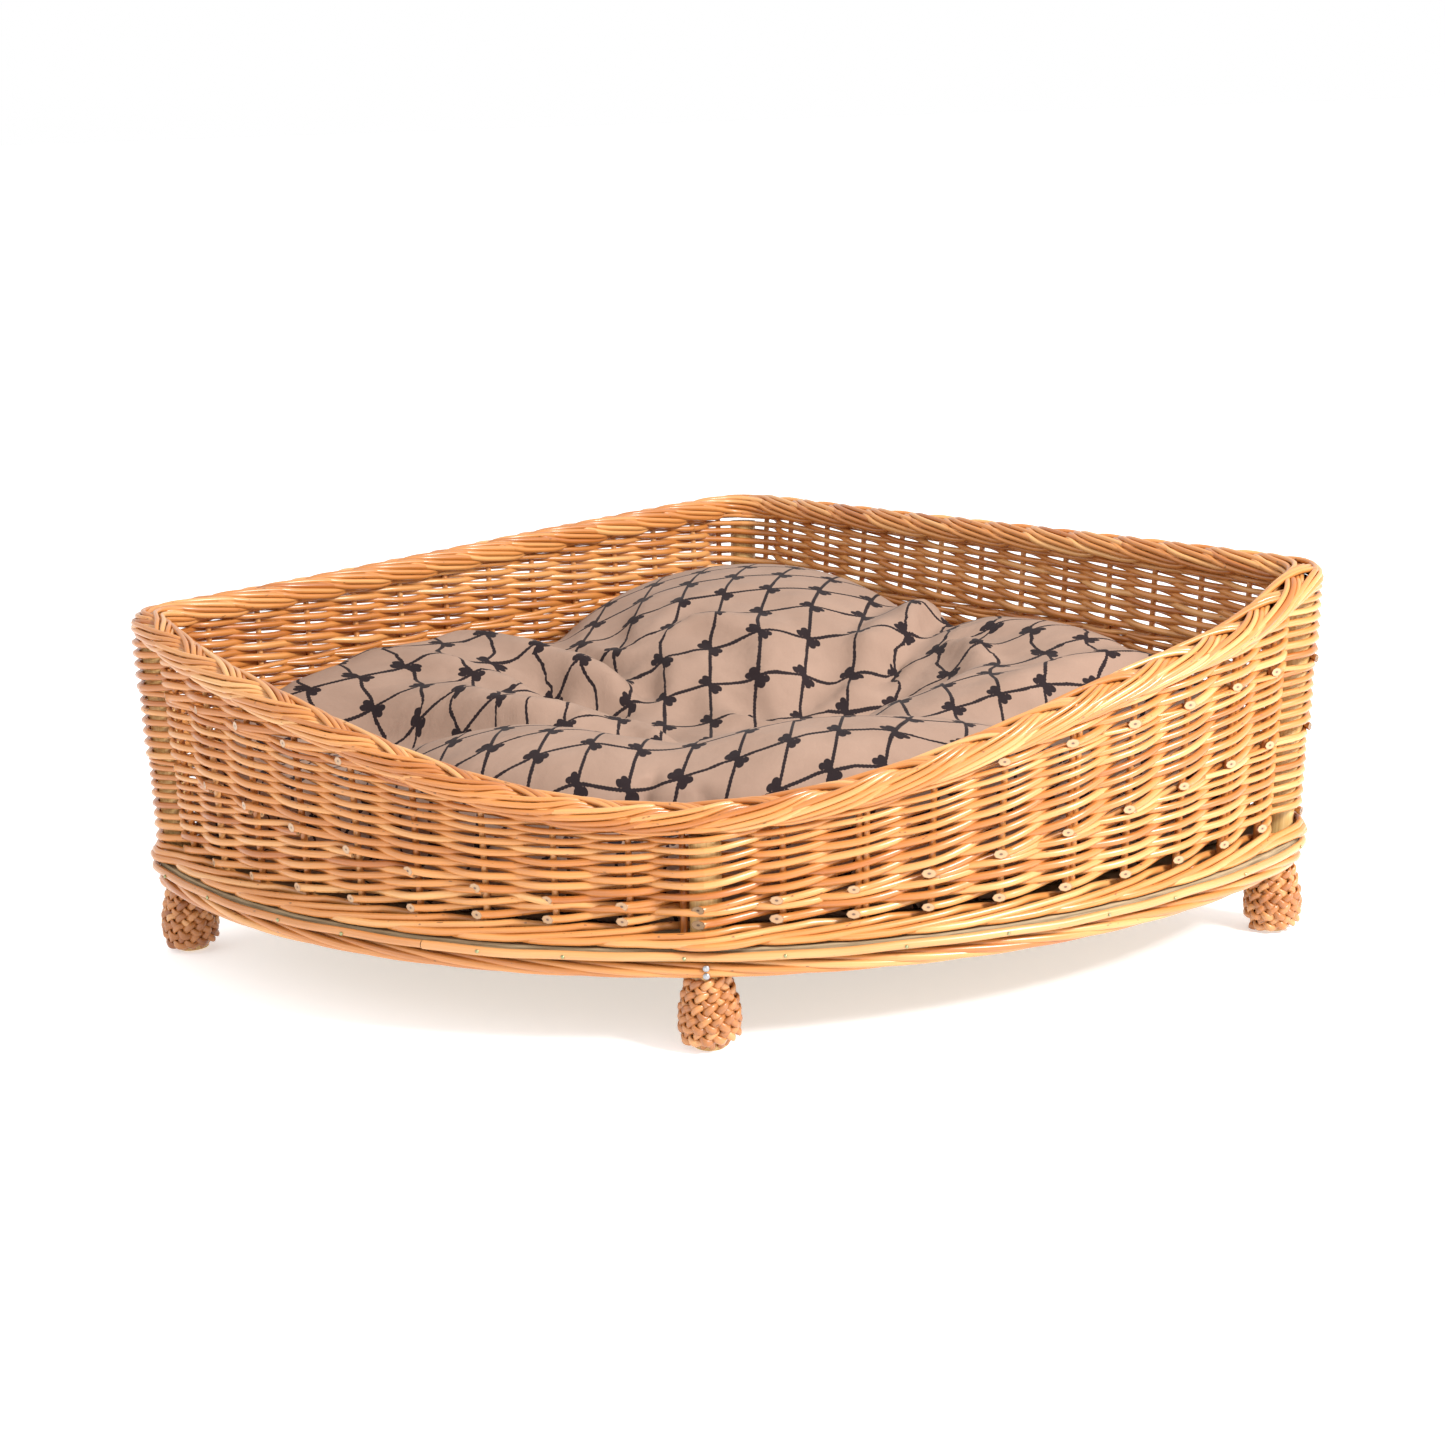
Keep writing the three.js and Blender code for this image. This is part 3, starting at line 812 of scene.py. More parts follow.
def add_wale_rod(bundles, rod):
    """Each stroke comes out low on the edge of the board, climbs and goes in high."""
    unit = np.arange(0, UNITS * STEPS_PER_SPACE + 1) / STEPS_PER_SPACE
    phase = np.mod(unit - rod, WALE_RODS)
    whole = np.floor(unit + 1e-9)
    share = unit - whole

    def offset_at(number):
        side = np.where(np.mod(number - rod, WALE_RODS) == 0, -1.0, 1.0)
        return side * (half_thickness(number) + WALE_RADIUS)

    here, there = offset_at(whole), offset_at(whole + 1)
    offset = here + (there - here) * (1 - np.cos(np.pi * share)) / 2
    corner = np.minimum(np.abs(unit - POST_UNITS[1]), np.abs(unit - POST_UNITS[3]))
    push = WALE_PUSH * (0.6 + 0.4 * np.clip(corner / 2.5, 0, 1))
    offset += push * np.interp(phase, [0, 0.6, 1.5, 3.2, 4], [0, 1, 0.9, 0.1, 0])
    middle = (BOARD_TOP + WALE_TOP) / 2 + 0.0004
    z = middle + WALE_RISE * np.interp(phase, [0, 0.6, 1.4, 3.4, 4], [0, -1, -0.85, 1, 0])
    points = WALL.place(distance_of(unit), offset + flare(z), z)
    tone = random_tone(0.6, rod_source(3, rod))
    for name, (begin, end) in WALLS.items():
        keep = (unit >= begin) & (unit <= end)
        bundles[name].add(points[keep], WALE_RADIUS, tone)


# ---- Stakes and plaited rim ----

RIM_STRANDS = 5
RODS_IN_STRAND = 4
PLAIT_WIDTH = 0.0128
PLAIT_HEIGHT = 0.0092
PLAIT_LIFT = 0.0040
PLAIT_MIDDLE = math.radians(76)
PLAIT_TURN = math.radians(110)
PLAIT_STRETCH = 0.56
UNDER_RODS = 4


def strand_path(unit, strand, rod):
    """Path of one rod of a plait folded over the rim. A strand climbs the outer face to the top,
    dives to the inner edge, climbs back to the top and dives to the outer edge."""
    phase = 2 * np.pi * (unit + strand) / RIM_STRANDS
    phase = phase + PLAIT_STRETCH / 2 * np.cos(2 * phase)
    lift = np.sin(2 * phase)
    lift = PLAIT_LIFT * np.sign(lift) * np.abs(lift) ** 0.6
    spread = (rod - (RODS_IN_STRAND - 1) / 2) * 2 * RIM_ROD_RADIUS / PLAIT_WIDTH
    angle = PLAIT_MIDDLE - PLAIT_TURN * np.cos(phase) + spread
    distance = distance_of(unit)
    centre = rim_centre(distance)
    across = (PLAIT_WIDTH + lift) * np.cos(angle)
    up = (PLAIT_HEIGHT + lift) * np.sin(angle)
    return WALL.place(distance, flare(centre) + across, centre + up)


def under_path(unit, rod):
    """Path of a rod that runs along under the plait and closes it."""
    angle = math.radians(-45 - 35 * rod) + 0.12 * np.sin(unit * 1.3 + rod)
    distance = distance_of(unit)
    centre = rim_centre(distance)
    return WALL.place(
        distance,
        flare(centre) + PLAIT_WIDTH * 0.95 * np.cos(angle),
        centre + PLAIT_HEIGHT * 0.95 * np.sin(angle),
    )


def build_rim_and_stakes():
    for name, (begin, end) in WALLS.items():
        bundle = RodBundle()
        add_stakes(bundle, name, begin, end)
        for strand in range(RIM_STRANDS):
            for rod in range(RODS_IN_STRAND):
                add_strand(bundle, begin, end, strand, rod)
        for rod in range(UNDER_RODS):
            unit = np.linspace(begin, end, (end - begin) * RIM_STEPS + 1)
            bundle.add(under_path(unit, rod), RIM_ROD_RADIUS, random_tone(1.0, rod_source(4, rod)))
        bundle.piece(f"{name}_stakes_and_plaited_rim", WILLOW, "willow_rod", f"{name}_stakes_and_rim")


def add_strand(bundle, begin, end, strand, rod):
    """Each rod lasts one turn of the plait. It begins and ends where the plait hides it."""
    hidden = RIM_STRANDS * (0.375 if rod % 2 else 0.875) - strand
    at = hidden + RIM_STRANDS * math.floor((begin - hidden) / RIM_STRANDS)
    while at < end:
        low, high = max(at, begin), min(at + RIM_STRANDS, end)
        if high - low > 0.2:
            unit = np.linspace(low, high, max(3, round((high - low) * RIM_STEPS) + 1))
            source = rod_source(1, strand, rod, round((at - hidden) / RIM_STRANDS) + RIM_STRANDS)
            taper = 1.07 - 0.14 * (unit - at) / RIM_STRANDS
            radius = RIM_ROD_RADIUS * taper * source.uniform(0.93, 1.07)
            bundle.add(strand_path(unit, strand, rod), radius, random_tone(1.0, source))
        at += RIM_STRANDS


def add_stakes(bundle, name, begin, end):
    for unit in range(begin + 1, end):
        distance = distance_of(unit)
        add_stake(bundle, distance)
        if name == "front_right" and unit % 3 == 1:
            add_stake(bundle, distance + BYE_STAKE_GAP)
    if name == "left":
        add_stake(bundle, distance_of(begin) + STAKE_BESIDE_POST)
    if name in ("front_left", "right"):
        add_stake(bundle, distance_of(end) - STAKE_BESIDE_POST)


def add_stake(bundle, distance):
    z = np.linspace(BOARD_BOTTOM - 0.004, float(rim_centre(distance)), 14)
    bow = rng.uniform(-0.0012, 0.0012) * np.sin((z - z[0]) / (z[-1] - z[0]) * np.pi)
    points = WALL.place(distance + bow, flare(z), z)
    radius = np.linspace(STAKE_RADIUS * 1.04, STAKE_RADIUS * 0.88, len(z))
    bundle.add(points, radius, random_tone(), up=outward_at(distance))


# ---- Foot border: the stakes' lower ends, twisted round under the edge of the board ----

BORDER_RODS = 7
BORDER_OFFSET = 0.008
BORDER_HALF_WIDTH = 0.0115
BORDER_HALF_HEIGHT = 0.0056
BORDER_RADIUS = 0.0038


def build_foot_borders():
    middle = (FOOT_BORDER_BOTTOM + BOARD_BOTTOM) / 2
    for name, (begin, end) in WALLS.items():
        bundle = RodBundle()
        for first in range(begin - BORDER_RODS, end):
            low, high = max(first, begin), min(first + BORDER_RODS, end)
            if high <= low:
                continue
            unit = np.linspace(low, high, (high - low) * STEPS_PER_SPACE + 1)
            source = rod_source(2, first + BORDER_RODS)
            angle = np.pi / 2 - 2 * np.pi * (unit - first) / BORDER_RODS + source.uniform(-0.12, 0.12)
            across = BORDER_OFFSET + BORDER_HALF_WIDTH * np.cos(angle)
            points = WALL.place(distance_of(unit), across, middle + BORDER_HALF_HEIGHT * np.sin(angle))
            bundle.add(points, BORDER_RADIUS * source.uniform(0.94, 1.06), random_tone(1.0, source))
        bundle.piece(f"{name}_twisted_foot_border", WILLOW, "willow_rod", f"{name}_foot_border")


# ---- Edge hoops: two thick rods pinned round the edge of the board ----

HOOP_RADIUS = 0.0042
HOOP_JOINT = 0.31
PIN_SPACING = 0.098
PIN_RADIUS = 0.0019
PIN_LENGTH = 0.012
HOOP_END_GAP = 0.0006


def build_hoops():
    middle = (BOARD_BOTTOM + BOARD_TOP) / 2 - 0.0002
    joint = WALL.left + HOOP_JOINT * (WALL.right - WALL.left)
    offset = BOARD_OVERHANG + HOOP_RADIUS + 0.0002
    for name, start in (("front", joint), ("back", joint + WALL.length / 2)):
        bundle = RodBundle()
        distance = np.linspace(start + HOOP_END_GAP, start + WALL.length / 2 - HOOP_END_GAP, 220)
        wave = 0.0007 * np.sin(distance * 23) + 0.0004 * np.sin(distance * 61)
        radius = HOOP_RADIUS * np.linspace(1.05, 0.93, len(distance))
        bundle.add(WALL.place(distance, offset, middle + wave), radius, random_tone(), 12, True, True)
        bundle.piece(f"{name}_hoop_rod", HOOP_WILLOW, "hoop_rod", f"{name}_edge_hoop")
        pins = RodBundle()
        for at in np.arange(start + PIN_SPACING / 2, start + WALL.length / 2, PIN_SPACING):
            at += rng.uniform(-0.012, 0.012)
            add_nail(pins, at, middle, offset + HOOP_RADIUS * 0.96, PIN_RADIUS, PIN_LENGTH)
        pins.piece(f"{name}_hoop_pins", BRASSED_STEEL, "nail_steel")


def add_nail(bundle, distance, z, under_head, head_radius, length):
    """A round nail that points outwards, with a slightly domed head."""
    profile = [
        (-length, 0.1), (-length + 0.002, 0.4), (0.0, 0.4), (0.00005, 1.0), (0.0006, 1.0),
        (0.0010, 0.82), (0.0012, 0.45),
    ]
    offsets = np.array([under_head + reach for reach, _ in profile])
    radii = np.array([share * head_radius for _, share in profile])
    bundle.add(WALL.place(distance, offsets, z), radii, 0.5, sides=14)


# ---- Posts, board and the nails in the posts ----

FOOT_NAIL_LENGTH = 0.018
POST_BELOW_RIM = 0.002
BOARD_BEVEL = 0.0012


def build_posts():
    for name, distance in POSTS.items():
        top = float(rim_centre(distance)) - RIM_HALF_HEIGHT - POST_BELOW_RIM
        z = np.linspace(POST_RADIUS * WALL_FLARE, top, 12)
        points = WALL.place(distance, flare(z), z)
        bundle = RodBundle()
        bundle.add(points, POST_RADIUS, random_tone(), 40, True, True, up=outward_at(distance))
        bundle.piece(f"post_dowel_{name}", DOWEL_WOOD, "dowel", f"post_{name}")


def build_foot_nails():
    for name, distance in POSTS.items():
        for level in ("upper", "lower"):
            low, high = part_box(f"foot_nail_{name}_{level}")
            bundle = RodBundle()
            head = BORDER_OFFSET + BORDER_HALF_WIDTH + BORDER_RADIUS
            middle, head_radius = (low[2] + high[2]) / 2, (high[2] - low[2]) / 2
            add_nail(bundle, distance, middle, head, head_radius, FOOT_NAIL_LENGTH)
            bundle.piece(f"nail_{name}_{level}", STEEL, "nail_steel", f"foot_nail_{name}_{level}")


def build_board():
    distance = np.linspace(0, WALL.length, 400, endpoint=False)
    levels = [
        (BOARD_BEVEL, BOARD_BOTTOM), (0, BOARD_BOTTOM + BOARD_BEVEL), (0, BOARD_TOP - BOARD_BEVEL),
        (BOARD_BEVEL, BOARD_TOP),
    ]
    rings = []
    for inset, z in levels:
        ring = WALL.place(distance, BOARD_OVERHANG - inset, BOARD_BOTTOM)
        ring[:, 2] = z
        rings.append(ring)
    count = len(distance)
    faces = [tuple(range(count))[::-1], tuple(range(3 * count, 4 * count))]
    for level in range(3):
        for i in range(count):
            a, b = level * count + i, level * count + (i + 1) % count
            faces.append((a, b, b + count, a + count))
    piece = object_of("plywood_base", np.concatenate(rings).tolist(), faces, PLYWOOD)
    finish_piece(piece, "plywood", "base_board")


# ---- Feet: a three-strand plait of split willow, wound round each post's lower end ----

FOOT_RIBS = 11
FOOT_TURNS = 5.1
FOOT_PROFILE_Z = (0.003, 0.012, 0.030, 0.050, 0.072)
FOOT_PROFILE_RADIUS = (0.021, 0.0275, 0.0300, 0.0270, 0.0225)
STRAND_RADIUS = 0.0036
STRAND_FLAT = 0.52
BRAID_HALF_WIDTH = 0.0054
BRAID_DEPTH = 0.0027
BRAID_LENGTH = 0.0450
BRAID_UNEVEN = 0.12


def foot_radius(z):
    """Radius of the bun's surface at a height, from a smooth curve through its profile."""
    return np.polyval(np.polyfit(FOOT_PROFILE_Z, FOOT_PROFILE_RADIUS, 3), z)


def round_post(centre, radius, angle, z):
    return centre + np.stack([radius * np.cos(angle), radius * np.sin(angle), z], axis=-1)


def build_feet():
    for name, distance in POSTS.items():
        bundle = RodBundle()
        centre = WALL.place(distance, flare(0.036), 0.0)
        turn = rng.uniform(0, 2 * np.pi)
        for strand in range(3):
            add_braid_strand(bundle, centre, strand, turn)
        for rib in range(FOOT_RIBS):
            angle = turn + 2 * np.pi * rib / FOOT_RIBS
            z = np.linspace(0.0045, FOOT_BORDER_BOTTOM + 0.004, 14)
            radius = foot_radius(z) - STRAND_RADIUS * 2.3
            points = round_post(centre, radius, angle, z)
            outward = (math.cos(angle), math.sin(angle), 0)
            bundle.add(points, STRAND_RADIUS, random_tone(), sides=6, up=outward)
        bundle.piece(f"foot_bun_{name}", SPLIT_WILLOW, "split_willow", f"foot_{name}")


def add_braid_strand(bundle, centre, strand, turn):
    """A strand swings up and down across the plait, and comes to the outside after every crossing."""
    low = (1 + BRAID_UNEVEN) * BRAID_HALF_WIDTH + STRAND_RADIUS + 0.0004
    high = FOOT_BORDER_BOTTOM - 0.0045
    around = np.linspace(0, 2 * np.pi * FOOT_TURNS, round(FOOT_TURNS * 96))
    level = low + (high - low) * around / around[-1]
    base = foot_radius(level)
    along = np.concatenate([[0], np.cumsum(base[1:] * np.diff(around))])
    swing = 2 * np.pi * (along / BRAID_LENGTH + strand / 3)
    uneven = 1 + BRAID_UNEVEN * np.sin(around * 2.3 + strand)
    z = level + BRAID_HALF_WIDTH * uneven * np.sin(swing)
    radius = base - STRAND_RADIUS * STRAND_FLAT - BRAID_DEPTH + BRAID_DEPTH * np.sin(2 * swing)
    points = round_post(centre, radius, turn + around, z)
    piece = int(rng.integers(50, 80))
    for start in range(0, len(points) - 8, piece):
        part = points[start : start + piece + 1]
        if len(part) > 4:
            bundle.add(part, STRAND_RADIUS * rng.uniform(0.92, 1.1), random_tone(1.2), flat=STRAND_FLAT)


build_siding()
build_wale()
build_rim_and_stakes()
build_foot_borders()
build_hoops()
build_posts()
build_foot_nails()
build_board()
build_feet()


# ---- Cushion ----

CUSHION_INSET = 0.028
CUSHION_LIMIT = 0.019
CUSHION_CENTRE = (0.0, 0.02)
CUSHION_BASE = 0.212
CUSHION_RISE = 0.030
EDGE_ROUNDING = 0.060
BOTTOM_ROUNDING = 0.030
VOXEL = 0.0088
SWELL_LIMIT = 0.010

# Places where the mounds press together, and the folds that run out from each.
PINCHES = ((-0.13, -0.13), (0.08, -0.09), (0.21, 0.02), (-0.08, 0.03))
FOLD_HEIGHT = 0.015
FOLD_REACH = 0.080

# Level that a mound rises from, and how sharply two mounds meet.
CUSHION_LOW = 0.19
CREASE_SHARPNESS = 130.0

# Gap between the board and the cushion before it is filled, and the least gap after.
CUSHION_GAP = 0.0015
SETTLED_GAP = 0.0006

# Height of the cushion's widest level, as a share of its thickness.
BELLY_SHARE = 0.45

# How deep the filling's surface lies in the cover.
COVER_GAP = 0.004


def wall_samples(inset, count):
    """Points of the wall line, moved inwards."""
    distance = np.linspace(0, WALL.length, count, endpoint=False)
    x, y, nx, ny = WALL.at(distance)
    return np.stack([x - nx * inset, y - ny * inset], axis=-1)


def lobe(x, y, centre, size, height, turn=0.0):
    """A rounded mound, turned about the vertical."""
    c, s = math.cos(turn), math.sin(turn)
    u = ((x - centre[0]) * c + (y - centre[1]) * s) / size[0]
    v = (-(x - centre[0]) * s + (y - centre[1]) * c) / size[1]
    return CUSHION_LOW + (height - CUSHION_LOW) * np.clip(1 - u**2 - v**2, 0, 1) ** 0.6


def folds(x, y):
    """Height of the folds: rays that start sharp at a pinch and fade as they spread."""
    total = np.zeros_like(x)
    for number, (px, py) in enumerate(PINCHES):
        reach = np.hypot(x - px, y - py) / FOLD_REACH
        angle = np.arctan2(y - py, x - px) + 0.5 * reach
        ray = np.cos(5 * angle + number) + 0.8 * np.cos(8 * angle - 2 * number)
        total += FOLD_HEIGHT * np.clip(ray, -0.6, 2) * reach * np.exp(-(reach**2) / 1.2)
    return total


def cushion_top(x, y):
    """Height of the loosely filled top: mounds that press together in creases."""
    mounds = [
        CUSHION_BASE + CUSHION_RISE * np.clip(y / 0.3, -0.6, 1),
        lobe(x, y, (0.02, 0.215), (0.255, 0.285), 0.324, 0.1),
        lobe(x, y, (-0.37, 0.03), (0.29, 0.165), 0.290, 0.35),
        lobe(x, y, (-0.25, 0.045), (0.22, 0.036), 0.290, -0.50),
        lobe(x, y, (-0.33, -0.02), (0.22, 0.036), 0.287, -0.42),
        lobe(x, y, (-0.27, -0.10), (0.25, 0.060), 0.262, -0.35),
        lobe(x, y, (0.38, 0.04), (0.26, 0.20), 0.298, -0.3),
        lobe(x, y, (0.19, 0.10), (0.17, 0.050), 0.298, 1.15),
        lobe(x, y, (0.30, -0.12), (0.20, 0.11), 0.268, 0.45),
        lobe(x, y, (-0.16, -0.275), (0.19, 0.105), 0.256, -0.25),
        lobe(x, y, (0.13, -0.285), (0.23, 0.105), 0.262, 0.15),
        lobe(x, y, (0.38, -0.10), (0.20, 0.045), 0.285, 0.55),
    ]
    top = np.log(sum(np.exp(CREASE_SHARPNESS * mound) for mound in mounds)) / CREASE_SHARPNESS
    return top + folds(x, y)


def rounding(edge, reach):
    """A quarter circle: 0 at the edge, and 1 from a distance inwards."""
    fall = np.clip(1 - edge / reach, 0, 1)
    return np.sqrt(np.maximum(1 - fall**2, 0))


def build_pillow():
    """The closed skin of the cushion before it is filled, and its flat cloth coordinates."""
    around, rings = 240, 46
    outline = wall_samples(CUSHION_INSET, around)
    centre = np.array(CUSHION_CENTRE)
    floor = BOARD_TOP + CUSHION_GAP
    share = np.linspace(0, 1, rings + 1)[1:] ** 0.9
    plan = centre + (outline - centre) * share[:, None, None]
    edge = np.linalg.norm(outline - centre, axis=-1) * (1 - share[:, None])
    x, y = plan[..., 0], plan[..., 1]
    crown = cushion_top(x, y)
    belly = floor + BELLY_SHARE * (crown - floor)
    top = belly + (crown - belly) * rounding(edge, EDGE_ROUNDING)
    bottom = belly + (floor - belly) * rounding(edge, BOTTOM_ROUNDING)
    peak = cushion_top(np.array(centre[0]), np.array(centre[1]))
    points = [np.array([[*centre, peak]]), np.stack([x, y, top], -1).reshape(-1, 3)]
    points += [np.stack([x, y, bottom], -1)[:-1].reshape(-1, 3), np.array([[*centre, floor]])]
    points = np.concatenate(points)
    first_bottom = 1 + rings * around

    def top_index(ring, i):
        return 1 + ring * around + i % around

    def bottom_index(ring, i):
        return top_index(ring, i) if ring == rings - 1 else first_bottom + ring * around + i % around

    faces = []
    last = len(points) - 1
    for i in range(around):
        faces.append((0, top_index(0, i), top_index(0, i + 1)))
        faces.append((last, bottom_index(0, i + 1), bottom_index(0, i)))
        for ring in range(rings - 1):
            corners = ((ring, i), (ring + 1, i), (ring + 1, i + 1), (ring, i + 1))
            faces.append(tuple(top_index(*corner) for corner in corners))
            corners = ((ring, i), (ring, i + 1), (ring + 1, i + 1), (ring + 1, i))
            faces.append(tuple(bottom_index(*corner) for corner in corners))
    pillow = object_of("printed_cushion", points.tolist(), faces)
    return pillow, points, cloth_coordinates(points, plan, rings, around)


def cloth_coordinates(points, plan, rings, around):
    """Where each point lies on the flat cloth. On the top, distances from the middle are measured
    along the skin, so that the print isn't stretched on the slopes. The underside keeps its plan,
    so the print doesn't run on past the widest level of the sides."""
    centre = np.array(CUSHION_CENTRE)
    flat = points[:, :2].copy()
    skin = points[1 : 1 + rings * around].reshape(rings, around, 3)
    skin = np.concatenate([np.repeat(points[:1, None], around, 1), skin])
    reach = np.cumsum(np.linalg.norm(np.diff(skin, axis=0), axis=-1), axis=0)
    direction = plan[-1] - centre
    direction /= np.linalg.norm(direction, axis=-1, keepdims=True)
    flat[1 : 1 + rings * around] = (centre + direction * reach[..., None]).reshape(-1, 2)
    return flat


def fill_pillow(obj):
    """Fills the skin as cloth under pressure, so that it swells and wrinkles by itself."""
    remesh = obj.modifiers.new("remesh", "REMESH")
    remesh.mode = "VOXEL"
    remesh.voxel_size = VOXEL
    apply_modifiers(obj)
    before = points_of(obj)
    cloth = obj.modifiers.new("cloth", "CLOTH")
    chosen = dict(
        quality=6, mass=0.25, tension_stiffness=12, compression_stiffness=12, shear_stiffness=6,
        bending_stiffness=0.15, use_pressure=True, uniform_pressure_force=4, shrink_min=-0.08,
        shrink_max=-0.08,
    )
    for key, value in chosen.items():
        setattr(cloth.settings, key, value)
    cloth.settings.effector_weights.gravity = 0
    cloth.collision_settings.use_collision = False
    cloth.point_cache.frame_end = 30
    scene = bpy.context.scene
    for number in range(1, 21):
        scene.frame_set(number)
    apply_modifiers(obj)
    after = points_of(obj)
    scene.frame_set(1)
    return before, after


def points_of(obj):
    points = np.empty(len(obj.data.vertices) * 3)
    obj.data.vertices.foreach_get("co", points)
    return points.reshape(-1, 3)


def apply_modifiers(obj):
    graph = bpy.context.evaluated_depsgraph_get()
    mesh = bpy.data.meshes.new_from_object(obj.evaluated_get(graph))
    obj.modifiers.clear()
    obj.data = mesh


def settle(before, after):
    """Caps how far the skin moved, and keeps it on the board and inside the walls."""
    move = after - before
    length = np.linalg.norm(move, axis=1, keepdims=True)
    move *= np.minimum(1, SWELL_LIMIT / np.maximum(length, 1e-9))
    points = before + move
    points[:, 2] = np.maximum(points[:, 2], BOARD_TOP + SETTLED_GAP)
    distance = np.linspace(0, WALL.length, 1200, endpoint=False)
    x, y, nx, ny = WALL.at(distance)
    for start in range(0, len(points), 4000):
        chunk = points[start : start + 4000]
        gap = (chunk[:, None, 0] - x) ** 2 + (chunk[:, None, 1] - y) ** 2
        near = gap.argmin(axis=1)
        out = (chunk[:, 0] - x[near]) * nx[near] + (chunk[:, 1] - y[near]) * ny[near]
        push = np.maximum(out + CUSHION_LIMIT, 0)
        chunk[:, 0] -= push * nx[near]
        chunk[:, 1] -= push * ny[near]
    return points


def print_places(points, skin, flat, corners):
    """Where the points lie on the printed cloth: the flat place of the nearest point of the skin,
    pulled a little askew as a loose cover is."""
    tree = BVHTree.FromPolygons(skin.tolist(), corners)
    skin = [Vector(point) for point in skin]
    flat = [Vector((x, y, 0)) for x, y in flat]
    places = np.zeros((len(points), 3))
    for index, point in enumerate(points):
        near, _, number, _ = tree.find_nearest(Vector(point))
        a, b, c = corners[number]
        places[index] = barycentric_transform(near, skin[a], skin[b], skin[c], flat[a], flat[b], flat[c])
    x, y, _ = places.T.copy()
    places[:, 0] += 0.016 * np.sin(9 * y + 1.0)
    places[:, 1] += 0.020 * np.sin(8 * x - 0.5)
    return places


def build_cushion():
    obj, skin, flat = build_pillow()
    obj.data.calc_loop_triangles()
    corners = [tuple(triangle.vertices) for triangle in obj.data.loop_triangles]
    before, after = fill_pillow(obj)
    print_at = print_places(before, skin, flat, corners)
    points = settle(before, after)
    obj.data.vertices.foreach_set("co", points.ravel())
    add_attribute(obj.data, "print", "FLOAT_VECTOR", "POINT", print_at)
    obj.data.update()
    build_filling(obj)
    smooth = obj.modifiers.new("smooth", "SUBSURF")
    smooth.levels = smooth.render_levels = 1
    apply_modifiers(obj)
    finish_soft(obj, COTTON, "cotton_print", "cushion_cover")


def build_filling(cover):
    """The filling is the cover's inside, a little smaller."""
    mesh = cover.data.copy()
    filling = link(bpy.data.objects.new("fibre_filling", mesh))
    shift = np.array([vertex.normal for vertex in mesh.vertices]) * COVER_GAP
    mesh.vertices.foreach_set("co", (points_of(filling) - shift).ravel())
    finish_soft(filling, FIBRE, "fibre_filling", "cushion_filling")


def finish_soft(obj, material, slot, node):
    obj.data.polygons.foreach_set("use_smooth", np.ones(len(obj.data.polygons), bool))
    obj.data.materials.clear()
    obj.data.materials.append(material)
    finish_piece(obj, slot, node, body="cushion")


build_cushion()


# ---- Zip under the cushion ----

ZIP_TOOTH_PITCH = 0.0030
ZIP_TOOTH = 0.0019
ZIP_TAPE_GAP = 0.0022
ZIP_TAPE_THICKNESS = 0.0008
ZIP_END_GAP = 0.005
ZIP_SLIDER_PLACE = 0.12


def mesh_of_boxes(name, boxes, material):
    """One mesh of several boxes, each given by its low and high corners."""
    points, faces = [], []
    for low, high in boxes:
        first = len(points)
        for x in (low[0], high[0]):
            for y in (low[1], high[1]):
                for z in (low[2], high[2]):
                    points.append((x, y, z))
        sides = ((0, 1, 3, 2), (4, 6, 7, 5), (0, 4, 5, 1), (2, 3, 7, 6), (0, 2, 6, 4), (1, 5, 7, 3))
        faces += [tuple(first + corner for corner in side) for side in sides]
    return object_of(name, points, faces, material)


def build_zip():
    """Two tapes, teeth that alternate across their gap, and a slider with its pull."""
    low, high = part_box("cushion_zip")
    middle = (low[1] + high[1]) / 2
    z = (low[2] + high[2]) / 2
    thin = ZIP_TAPE_THICKNESS / 2
    boxes = [
        ((low[0], low[1], z - thin), (high[0], middle - ZIP_TAPE_GAP / 2, z + thin)),
        ((low[0], middle + ZIP_TAPE_GAP / 2, z - thin), (high[0], high[1], z + thin)),
    ]
    first, last = low[0] + ZIP_END_GAP, high[0] - ZIP_END_GAP
    for index, x in enumerate(np.arange(first, last, ZIP_TOOTH_PITCH / 2)):
        y = middle + (0.0005 if index % 2 else -0.0005)
        low_corner = (x, y - ZIP_TOOTH / 2, z - 0.0009)
        boxes.append((low_corner, (x + ZIP_TOOTH * 0.7, y + ZIP_TOOTH / 2, z + 0.0009)))
    x = low[0] + ZIP_SLIDER_PLACE * (high[0] - low[0])
    boxes.append(((x, middle - 0.0034, low[2] + 0.0005), (x + 0.0090, middle + 0.0034, z + 0.0013)))
    boxes.append(((x + 0.0060, middle - 0.0020, low[2]), (x + 0.0230, middle + 0.0020, low[2] + 0.0006)))
    piece = mesh_of_boxes("zip_with_slider", boxes, ZIP_NYLON)
    finish_piece(piece, "zip_nylon", "cushion_zip", body="cushion")


build_zip()


# ---- Camera, floor and light ----


# The camera that fits the photo. Its focal length is in picture widths.
CAMERA_PLACE = (0.156, -2.9383, 0.888)
CAMERA_FOCAL = 1.965398
CAMERA_YAW, CAMERA_PITCH, CAMERA_ROLL = math.radians(-3.10), math.radians(13.11), math.radians(1.99)
SENSOR_WIDTH = 36

FLOOR_HALF_SIZE = 40
FLOOR_GLOW = 0.45


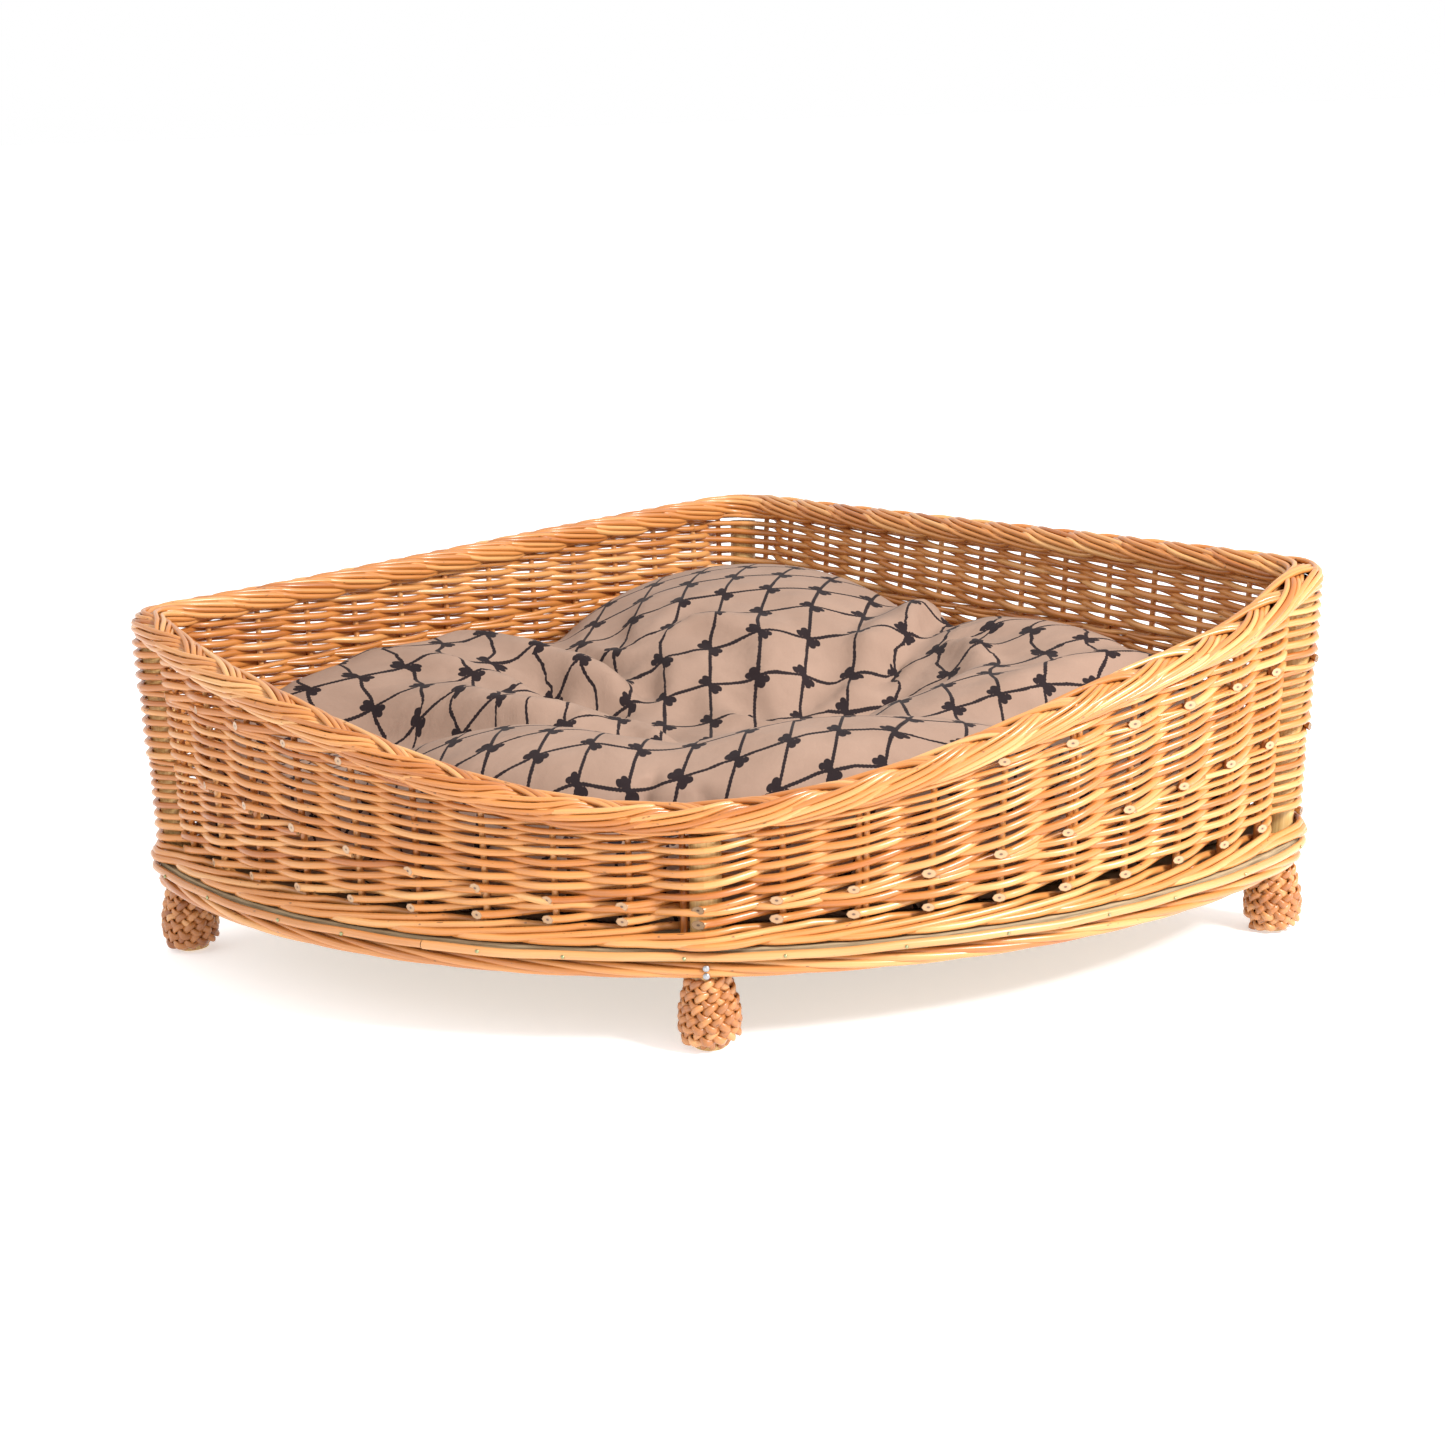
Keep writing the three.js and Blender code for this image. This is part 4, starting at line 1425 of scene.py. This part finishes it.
def build_camera():
    flat_forward = Vector((math.sin(CAMERA_YAW), math.cos(CAMERA_YAW), 0))
    forward = flat_forward * math.cos(CAMERA_PITCH) - Vector((0, 0, math.sin(CAMERA_PITCH)))
    right = Vector((math.cos(CAMERA_YAW), -math.sin(CAMERA_YAW), 0))
    up = right.cross(forward)
    turned_right = right * math.cos(CAMERA_ROLL) - up * math.sin(CAMERA_ROLL)
    turned_up = right * math.sin(CAMERA_ROLL) + up * math.cos(CAMERA_ROLL)
    data = bpy.data.cameras.new("camera")
    data.sensor_width = SENSOR_WIDTH
    data.lens = SENSOR_WIDTH * CAMERA_FOCAL
    data.clip_end = 200
    camera = link(bpy.data.objects.new("camera", data))
    axes = Matrix((turned_right, turned_up, -forward)).transposed()
    camera.matrix_world = Matrix.Translation(CAMERA_PLACE) @ axes.to_4x4()
    bpy.context.scene.camera = camera


def build_floor():
    tree = NodeTree("pale_floor")
    speckle = tree.noise(tree.place(), 40.0, 4.0)
    material = tree.surface(
        Base_Color=tree.ramp(speckle, (0.3, 0.86), (0.7, 0.9)),
        Roughness=0.9,
        Emission_Color=(1, 1, 1, 1),
        Emission_Strength=FLOOR_GLOW,
    )
    size = FLOOR_HALF_SIZE
    corners = [(-size, -size, 0), (size, -size, 0), (size, size, 0), (-size, size, 0)]
    object_of("floor", corners, [(0, 1, 2, 3)], material)


def add_area(name, size, energy, place, aim):
    data = bpy.data.lights.new(name, "AREA")
    data.shape = "RECTANGLE"
    data.size, data.size_y = size
    data.energy = energy
    light = link(bpy.data.objects.new(name, data))
    light.location = place
    light.rotation_euler = (Vector(aim) - Vector(place)).to_track_quat("-Z", "Y").to_euler()


def build_light():
    world = bpy.data.worlds.new("studio")
    world.use_nodes = True
    background = world.node_tree.nodes["Background"].inputs
    background["Color"].default_value = (1, 1, 1, 1)
    background["Strength"].default_value = 1.0
    bpy.context.scene.world = world
    add_area("key", (0.8, 0.6), 145, (2.3, -1.7, 2.0), (0, 0, 0.2))
    add_area("fill", (2.2, 1.6), 12, (-2.6, -1.6, 1.6), (0, 0, 0.2))


build_camera()
build_floor()
build_light()
bpy.context.scene.view_settings.view_transform = "Standard"
